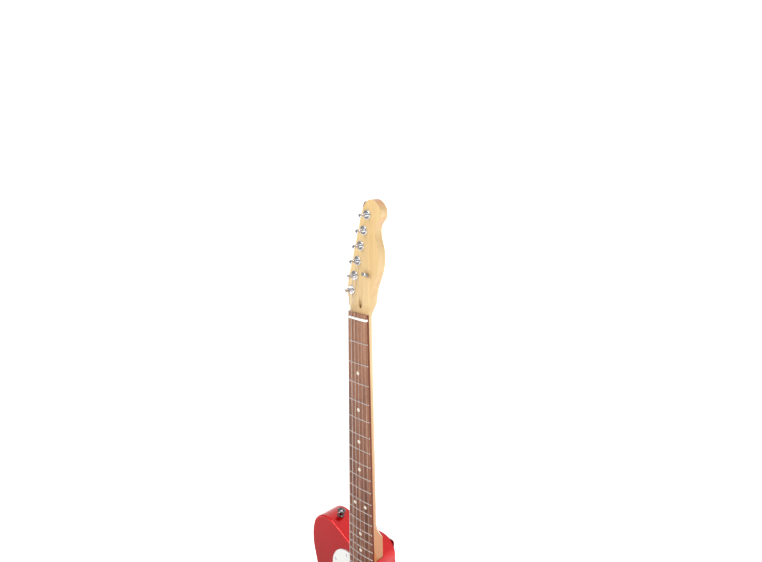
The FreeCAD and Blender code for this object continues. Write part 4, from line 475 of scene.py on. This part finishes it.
class GUITAR_OT_board(bpy.types.Operator):
    """Streaked dark fingerboard with open pores, redder on its sides"""
    bl_idname = "guitar.board"
    bl_label = "Fingerboard"

    def execute(self, context):
        colours = context.scene.guitar_finish
        finish = Finish("fingerboard_wood")
        finish.set(Specular_IOR_Level=0.22)
        streak = finish.noise(finish.stretched((1, 1, 0.030)), 170.0, 5.0, 0.62, 0.4)
        fine = finish.noise(finish.stretched((1, 1, 0.022)), 700.0, 3.0, 0.6)
        tone = finish.ramp(streak, [(0.36, colours.board_dark), (0.47, colours.board),
                                    (0.55, colours.board), (0.66, colours.board_light)])
        near_nut = finish.spread(finish.axis("Z"), -0.36, -0.05, 0.0, 0.60)
        tone = finish.mix(near_nut, tone, colours.board_light)
        pores = finish.noise(finish.stretched((1, 1, 0.055)), 1500.0, 2.0, 0.5)
        open_pore = finish.spread(pores, 0.60, 0.70, 0.0, 0.75)
        tone = finish.mix(open_pore, tone, colours.board_dark)
        tone = finish.mix(finish.spread(fine, 0.52, 0.80, 0.0, 0.45), tone, colours.board_dark)
        side = finish.spread(finish.maths("ABSOLUTE", finish.axis("X", "Normal")), 0.55, 0.85, 0.0, 0.85)
        finish.drive(finish.mix(side, tone, colours.board_side), "Base Color")
        finish.drive(finish.spread(streak, 0.3, 0.7, 0.50, 0.36), "Roughness")
        finish.bump(open_pore, 0.25, -0.10 * MM)
        wear(["fretboard"], finish)
        return {"FINISHED"}


class GUITAR_OT_frets(bpy.types.Operator):
    """Polished frets, the white nut and the cream markers"""
    bl_idname = "guitar.frets"
    bl_label = "Frets, nut and markers"

    def execute(self, context):
        colours = context.scene.guitar_finish
        fret = Finish("nickel_silver").set(Metallic=1.0)
        polish = fret.noise(fret.stretched((1.0, 1.0, 0.2)), 2200.0, 2.0)
        fret.drive(fret.ramp(polish, [(0.3, [c * 0.86 for c in colours.fret]), (0.7, colours.fret)]),
                   "Base Color")
        fret.drive(fret.spread(polish, 0.3, 0.7, 0.14, 0.26), "Roughness")
        fret.bump(polish, 0.10, 0.02 * MM)
        wear(["frets"], fret)

        nut = Finish("nut_white").set(Subsurface_Weight=0.06, Subsurface_Scale=1.0 * MM)
        cloud = nut.noise(nut.stretched((0.3, 1, 1)), 700.0, 3.0)
        nut.drive(nut.ramp(cloud, [(0.3, [c * 0.95 for c in colours.nut]), (0.7, colours.nut)]), "Base Color")
        nut.drive(nut.spread(cloud, 0.3, 0.7, 0.22, 0.32), "Roughness")
        nut.bump(cloud, 0.06, 0.03 * MM)
        wear(["nut"], nut)

        dot = Finish("marker_pearl").set(Coat_Weight=0.3, Coat_Roughness=0.1)
        swirl = dot.noise(dot.stretched((1, 1, 1)), 420.0, 3.0, 0.5, 1.6)
        dot.drive(dot.ramp(swirl, [(0.30, [c * 0.84 for c in colours.inlay]), (0.55, colours.inlay),
                                   (0.80, (0.86, 0.78, 0.70))]), "Base Color")
        dot.drive(dot.spread(swirl, 0.3, 0.7, 0.24, 0.34), "Roughness")
        wear(["position_markers"], dot)
        return {"FINISHED"}


class GUITAR_OT_hardware(bpy.types.Operator):
    """Chrome, steel and aluminium on the metal parts"""
    bl_idname = "guitar.hardware"
    bl_label = "Metal hardware"

    def execute(self, context):
        colours = context.scene.guitar_finish
        plating = colours.chrome
        metal(CHROME_NODES, "chrome_plate", (1, 1, 1), (160.0, 4.0, 0.6, 0.5),
              ([c * 0.92 for c in plating], plating), (0.35, 0.75, 0.035, 0.11), (0.02, 0.05 * MM))
        metal(PLATE_NODES, "chrome_sheet", (1, 1, 0.15), (260.0, 4.0, 0.6),
              ([c * 0.90 for c in plating], plating), (0.35, 0.75, 0.05, 0.15), (0.03, 0.05 * MM))
        metal(["strap_buttons"], "chrome_dark", (1, 1, 1), (240.0, 4.0, 0.6),
              ((0.07, 0.06, 0.06), (0.20, 0.18, 0.18)), (0.3, 0.7, 0.06, 0.16))
        metal(["string_tree"], "nickel_worn", (1, 1, 1), (700.0, 3.0, 0.6),
              ((0.30, 0.28, 0.27), (0.50, 0.47, 0.45)), (0.3, 0.7, 0.12, 0.24), (0.05, 0.03 * MM))
        # Truss rod: steel whose near-black, bluish tone is painted shade of the rod's hole.
        metal(["truss_rod"], "truss_steel_painted_shade", (1, 1, 0.3), (800.0, 3.0, 0.6),
              ((0.020, 0.022, 0.035), (0.06, 0.065, 0.10)), (0.3, 0.7, 0.30, 0.50), (0.08, 0.03 * MM))
        metal(STEEL_NODES, "steel_plain", (1, 0.1, 1), (900.0, 3.0, 0.6),
              ((0.34, 0.34, 0.35), (0.52, 0.52, 0.53)), (0.3, 0.7, 0.24, 0.42), (0.08, 0.03 * MM))

        shaft = Finish("aluminium_turned").set(Metallic=1.0)
        rings = shaft.wave(shaft.stretched((1, 1, 1)), 900.0, "Y", 0.5)
        shaft.drive(shaft.ramp(rings, [(0.0, (0.58, 0.58, 0.60)), (1.0, (0.72, 0.72, 0.74))]), "Base Color")
        shaft.drive(shaft.spread(rings, 0.0, 1.0, 0.26, 0.36), "Roughness")
        wear(ALUMINIUM_NODES, shaft)

        soften(PLATE_NODES + ["saddles", "neck_pickup_cover", "neck_plate"],
               context.scene.guitar_detail.edge)
        return {"FINISHED"}


class GUITAR_OT_plastics(bpy.types.Operator):
    """Three-ply pickguard, black plastics and enamelled coil wire"""
    bl_idname = "guitar.plastics"
    bl_label = "Plastics and coils"

    def execute(self, context):
        colours = context.scene.guitar_finish
        low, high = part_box("pickguard")
        third = (high.y - low.y) / 3
        guard = Finish("guard_three_ply").set(Coat_Weight=0.2, Coat_Roughness=0.08)
        depth = guard.axis("Y")
        ply = guard.ramp(guard.spread(depth, low.y, high.y), [(0.0, 1.0), (0.32, 1.0), (0.36, 0.03),
                                                               (0.64, 0.03), (0.68, 1.0)])
        scuff = guard.noise(guard.stretched((1, 1, 0.4)), 300.0, 4.0, 0.65)
        face = guard.ramp(scuff, [(0.3, [c * 0.95 for c in colours.guard]), (0.7, colours.guard)])
        guard.drive(guard.mix(1.0, face, ply, "MULTIPLY"), "Base Color")
        guard.drive(guard.spread(scuff, 0.3, 0.75, 0.16, 0.28), "Roughness")
        guard.bump(scuff, 0.03, third * 0.1)
        wear(["pickguard"], guard)

        black = Finish("black_moulding")
        grit = black.noise(black.stretched((1, 1, 1)), 1400.0, 3.0)
        black.drive(black.ramp(grit, [(0.3, (0.010, 0.010, 0.011)), (0.8, (0.030, 0.030, 0.032))]),
                    "Base Color")
        black.drive(black.spread(grit, 0.3, 0.7, 0.28, 0.44), "Roughness")
        black.bump(grit, 0.12, 0.04 * MM)
        wear(BLACK_NODES, black)

        coil = Finish("coil_wire").set(Metallic=0.6, Coat_Weight=0.4, Coat_Roughness=0.15)
        turns = coil.wave(coil.stretched((1, 1, 1)), 1500.0, "Y", 0.4)
        # Painted shade: the coil's colour darkens in the creases between its turns of wire.
        coil.drive(coil.ramp(turns, [(0.0, (0.16, 0.045, 0.015)), (1.0, (0.50, 0.17, 0.06))]), "Base Color")
        coil.drive(coil.spread(turns, 0.0, 1.0, 0.42, 0.28), "Roughness")
        coil.bump(turns, 0.5, 0.05 * MM)
        wear(COIL_NODES, coil)
        return {"FINISHED"}


class GUITAR_OT_strings(bpy.types.Operator):
    """String metal, and the turns of string round each post with its cut end through the eye"""
    bl_idname = "guitar.strings"
    bl_label = "Strings"

    def execute(self, context):
        colours = context.scene.guitar_finish
        detail = context.scene.guitar_detail
        wound = Finish("string_wound").set(Metallic=1.0)
        turns = wound.wave(wound.stretched((1, 1, 1)), 1150.0, "Z")
        # Painted shade: the wound string's colour darkens in the grooves between its turns.
        wound.drive(wound.ramp(turns, [(0.0, [c * 0.55 for c in colours.strings]), (0.5, colours.strings)]),
                    "Base Color")
        wound.drive(wound.spread(turns, 0.0, 1.0, 0.45, 0.28), "Roughness")
        wound.bump(turns, 0.5, 0.05 * MM)
        wear(["wound_strings"], wound)
        plain = wire_finish("string_plain", colours.strings, None)
        wear(["plain_strings"], plain)
        wrap_wound = wire_finish("string_wrap_wound", colours.strings, 0.27 * MM)

        for number, gauge in enumerate(GAUGES):
            self.wrap(number, gauge * MM / 2, detail, (wrap_wound if number < WOUND else plain))
        return {"FINISHED"}

    def wrap(self, number, radius, detail, finish):
        """Turns from where the string meets the post up to the eye, and the tail through it."""
        low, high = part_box(f"tuner_post_{number + 1}")
        centre = (low + high) / 2
        first = low.y + POST_FIRST_TURN - radius
        eye = low.y + POST_EYE
        reach = detail.post_waist + radius + WRAP_GAP
        rise = first - eye
        whole = max(1, int(rise / (2.1 * radius) - 0.5))
        turn_count = min(whole, MOST_TURNS) + 0.5
        steps = int(turn_count * WRAP_STEPS)
        points = []
        for step in range(steps + 1):
            share = step / steps
            angle = 2 * math.pi * turn_count * share
            points.append(centre.copy())
            points[-1].y = first - rise * share
            points[-1] += Vector((math.cos(angle), 0, math.sin(angle))) * reach
        for across, up in TAIL_ROUTE:
            points.append(Vector((centre.x + across * reach, eye, centre.z + up * radius * 2)))
        wire = wire_mesh(f"string_wrap_{number + 1}", points, radius * 0.97, detail.wire_sides)
        wire.data.materials.append(finish.material)
        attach(wire, f"string_post_{number + 1}")


class GUITAR_OT_springs(bpy.types.Operator):
    """A coil spring on each intonation screw, between the bridge's wall and its saddle"""
    bl_idname = "guitar.springs"
    bl_label = "Intonation springs"

    def execute(self, context):
        detail = context.scene.guitar_detail
        finish = wire_finish("spring_steel", (0.55, 0.55, 0.57), None)
        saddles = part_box("saddles")
        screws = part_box("intonation_screws")
        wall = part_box("bridge_plate")[0].z + BRIDGE_WALL
        height = (screws[0].y + screws[1].y) / 2
        for number in range(STRING_COUNT):
            x = HALF_SPREAD * (2 * number / (STRING_COUNT - 1) - 1)
            low = wall + detail.spring_wire * 1.3
            high = saddles[0].z - detail.spring_wire * 1.3
            steps = int(detail.spring_turns * SPRING_STEPS)
            points = []
            for step in range(steps + 1):
                share = step / steps
                angle = 2 * math.pi * detail.spring_turns * share
                close = share + 0.035 * math.sin(2 * math.pi * share)
                points.append(Vector((x + detail.spring_radius * math.cos(angle),
                                      height + detail.spring_radius * math.sin(angle),
                                      low + (high - low) * close)))
            spring = wire_mesh(f"intonation_spring_{number + 1}", points, detail.spring_wire, SPRING_SIDES)
            spring.data.materials.append(finish.material)
            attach(spring, "guitar")
        return {"FINISHED"}


# ---- operator: stage ------------------------------------------------------------------------------

class GUITAR_OT_stage(bpy.types.Operator):
    """Pale floor with a disc of painted shade, soft light and the camera"""
    bl_idname = "guitar.stage"
    bl_label = "Studio"

    def execute(self, context):
        studio = context.scene.guitar_studio
        self.floor(studio)
        self.surroundings(context.scene, studio)
        self.soft_light("key_light", *KEY_LIGHT, studio.key_power)
        self.soft_light("side_light", *SIDE_LIGHT, studio.side_power)
        self.camera(context.scene, studio)
        context.scene.view_settings.view_transform = "Standard"
        return {"FINISHED"}

    def floor(self, studio):
        mesh = bpy.data.meshes.new("floor")
        shape = bmesh.new()
        bmesh.ops.create_grid(shape, x_segments=24, y_segments=24, size=FLOOR_HALF)
        middle = (0, FLOOR_HALF - FLOOR_AHEAD, CAD_BOX[0].z - studio.floor_gap)
        bmesh.ops.translate(shape, vec=middle, verts=shape.verts)
        shape.to_mesh(mesh)
        shape.free()
        floor = bpy.data.objects.new("floor", mesh)
        bpy.context.scene.collection.objects.link(floor)
        finish = Finish("floor_pale")
        cloud = finish.noise(finish.stretched((1, 1, 1)), 3.0, 3.0)
        pale = finish.ramp(cloud, [(0.3, 0.91), (0.7, 0.94)])
        # Painted shade: round the given place the floor's tone darkens and its glow weakens.
        away = finish.distance(studio.painted_shade_place)
        clear = finish.spread(away, studio.painted_shade_radius * 0.5, studio.painted_shade_radius)
        finish.drive(finish.mix(clear, PAINTED_SHADE_TONE, pale), "Base Color")
        glow = finish.spread(away, studio.painted_shade_radius * 0.5, studio.painted_shade_radius, *FLOOR_GLOW)
        finish.drive(glow, "Emission Strength")
        finish.set(Roughness=0.9, Specular_IOR_Level=0.1, Emission_Color=(1.0, 1.0, 1.0, 1.0))
        mesh.materials.append(finish.material)

    def surroundings(self, scene, studio):
        """White behind and dimmer in front, with a dark band, so that the polished metal has contrast."""
        world = bpy.data.worlds.new("studio")
        world.use_nodes = True
        tree = world.node_tree
        tree.nodes.clear()
        output = tree.nodes.new("ShaderNodeOutputWorld")
        background = tree.nodes.new("ShaderNodeBackground")
        place = tree.nodes.new("ShaderNodeTexCoord")
        split = tree.nodes.new("ShaderNodeSeparateXYZ")
        high = tree.nodes.new("ShaderNodeValToRGB")
        front = tree.nodes.new("ShaderNodeMapRange")
        blend = tree.nodes.new("ShaderNodeMix")
        elements = high.color_ramp.elements
        while len(elements) < len(FRONT_TONES):
            elements.new(0.5)
        for element, (where, tone) in zip(elements, FRONT_TONES):
            element.position = where
            element.color = (tone, tone, tone, 1.0)
        front.inputs["From Min"].default_value = FRONT_FROM
        front.inputs["From Max"].default_value = FRONT_TO
        blend.data_type = "RGBA"
        blend.inputs[MIX_COLOUR_INPUTS[1]].default_value = (1.0, 1.0, 1.0, 1.0)
        background.inputs["Strength"].default_value = studio.backdrop
        for source, target in ((place.outputs["Generated"], split.inputs["Vector"]),
                               (split.outputs["Z"], high.inputs["Fac"]),
                               (split.outputs["Y"], front.inputs["Value"]),
                               (front.outputs["Result"], blend.inputs[MIX_COLOUR_INPUTS[0]]),
                               (high.outputs["Color"], blend.inputs[MIX_COLOUR_INPUTS[2]]),
                               (blend.outputs[MIX_COLOUR_OUTPUT], background.inputs["Color"]),
                               (background.outputs["Background"], output.inputs["Surface"])):
            tree.links.new(source, target)
        scene.world = world

    def soft_light(self, name, place, size, power):
        data = bpy.data.lights.new(name, "AREA")
        data.size = size
        data.energy = power
        light = bpy.data.objects.new(name, data)
        light.location = place
        light.rotation_euler = (Vector(LIGHT_AIM) - Vector(place)).to_track_quat("-Z", "Y").to_euler()
        bpy.context.scene.collection.objects.link(light)

    def camera(self, scene, studio):
        data = bpy.data.cameras.new("camera")
        data.sensor_width = 36.0
        data.lens = studio.camera_lens
        data.clip_start = 0.01
        heading = Vector((-math.sin(studio.camera_yaw), math.cos(studio.camera_yaw), 0))
        ahead = heading * math.cos(studio.camera_pitch) - Vector((0, 0, math.sin(studio.camera_pitch)))
        right = Vector((math.cos(studio.camera_yaw), math.sin(studio.camera_yaw), 0))
        up = right.cross(ahead)
        roll = studio.camera_roll
        right, up = right * math.cos(roll) + up * math.sin(roll), up * math.cos(roll) - right * math.sin(roll)
        camera = bpy.data.objects.new("camera", data)
        turn = Matrix((right, up, -ahead)).transposed().to_4x4()
        camera.matrix_world = Matrix.Translation(Vector(studio.camera_place)) @ turn
        scene.collection.objects.link(camera)
        scene.camera = camera


# ---- panel and registration -----------------------------------------------------------------------

OPERATORS = (GUITAR_OT_body, GUITAR_OT_neck, GUITAR_OT_board, GUITAR_OT_frets, GUITAR_OT_hardware,
             GUITAR_OT_plastics, GUITAR_OT_strings, GUITAR_OT_springs, GUITAR_OT_stage)


class GUITAR_PT_panel(bpy.types.Panel):
    """The guitar's pieces in the order they are made"""
    bl_idname = "GUITAR_PT_panel"
    bl_label = "Electric Guitar"
    bl_space_type = "VIEW_3D"
    bl_region_type = "UI"
    bl_category = "Guitar"

    def draw(self, context):
        for operator in OPERATORS:
            self.layout.operator(operator.bl_idname)
        for group in (context.scene.guitar_finish, context.scene.guitar_detail, context.scene.guitar_studio):
            box = self.layout.box()
            for name in group.__annotations__:
                box.prop(group, name)


GROUPS = {"guitar_finish": GuitarFinish, "guitar_detail": GuitarDetail, "guitar_studio": GuitarStudio}


def register():
    for kind in (*GROUPS.values(), *OPERATORS, GUITAR_PT_panel):
        bpy.utils.register_class(kind)
    for name, kind in GROUPS.items():
        setattr(bpy.types.Scene, name, PointerProperty(type=kind))


def unregister():
    for name in GROUPS:
        delattr(bpy.types.Scene, name)
    for kind in reversed((*GROUPS.values(), *OPERATORS, GUITAR_PT_panel)):
        bpy.utils.unregister_class(kind)


def main():
    register()
    bpy.ops.guitar.stage()
    bpy.ops.guitar.body()
    bpy.ops.guitar.neck()
    bpy.ops.guitar.board()
    bpy.ops.guitar.frets()
    bpy.ops.guitar.hardware()
    bpy.ops.guitar.plastics()
    bpy.ops.guitar.strings()
    bpy.ops.guitar.springs()


if __name__ == "__main__":
    main()
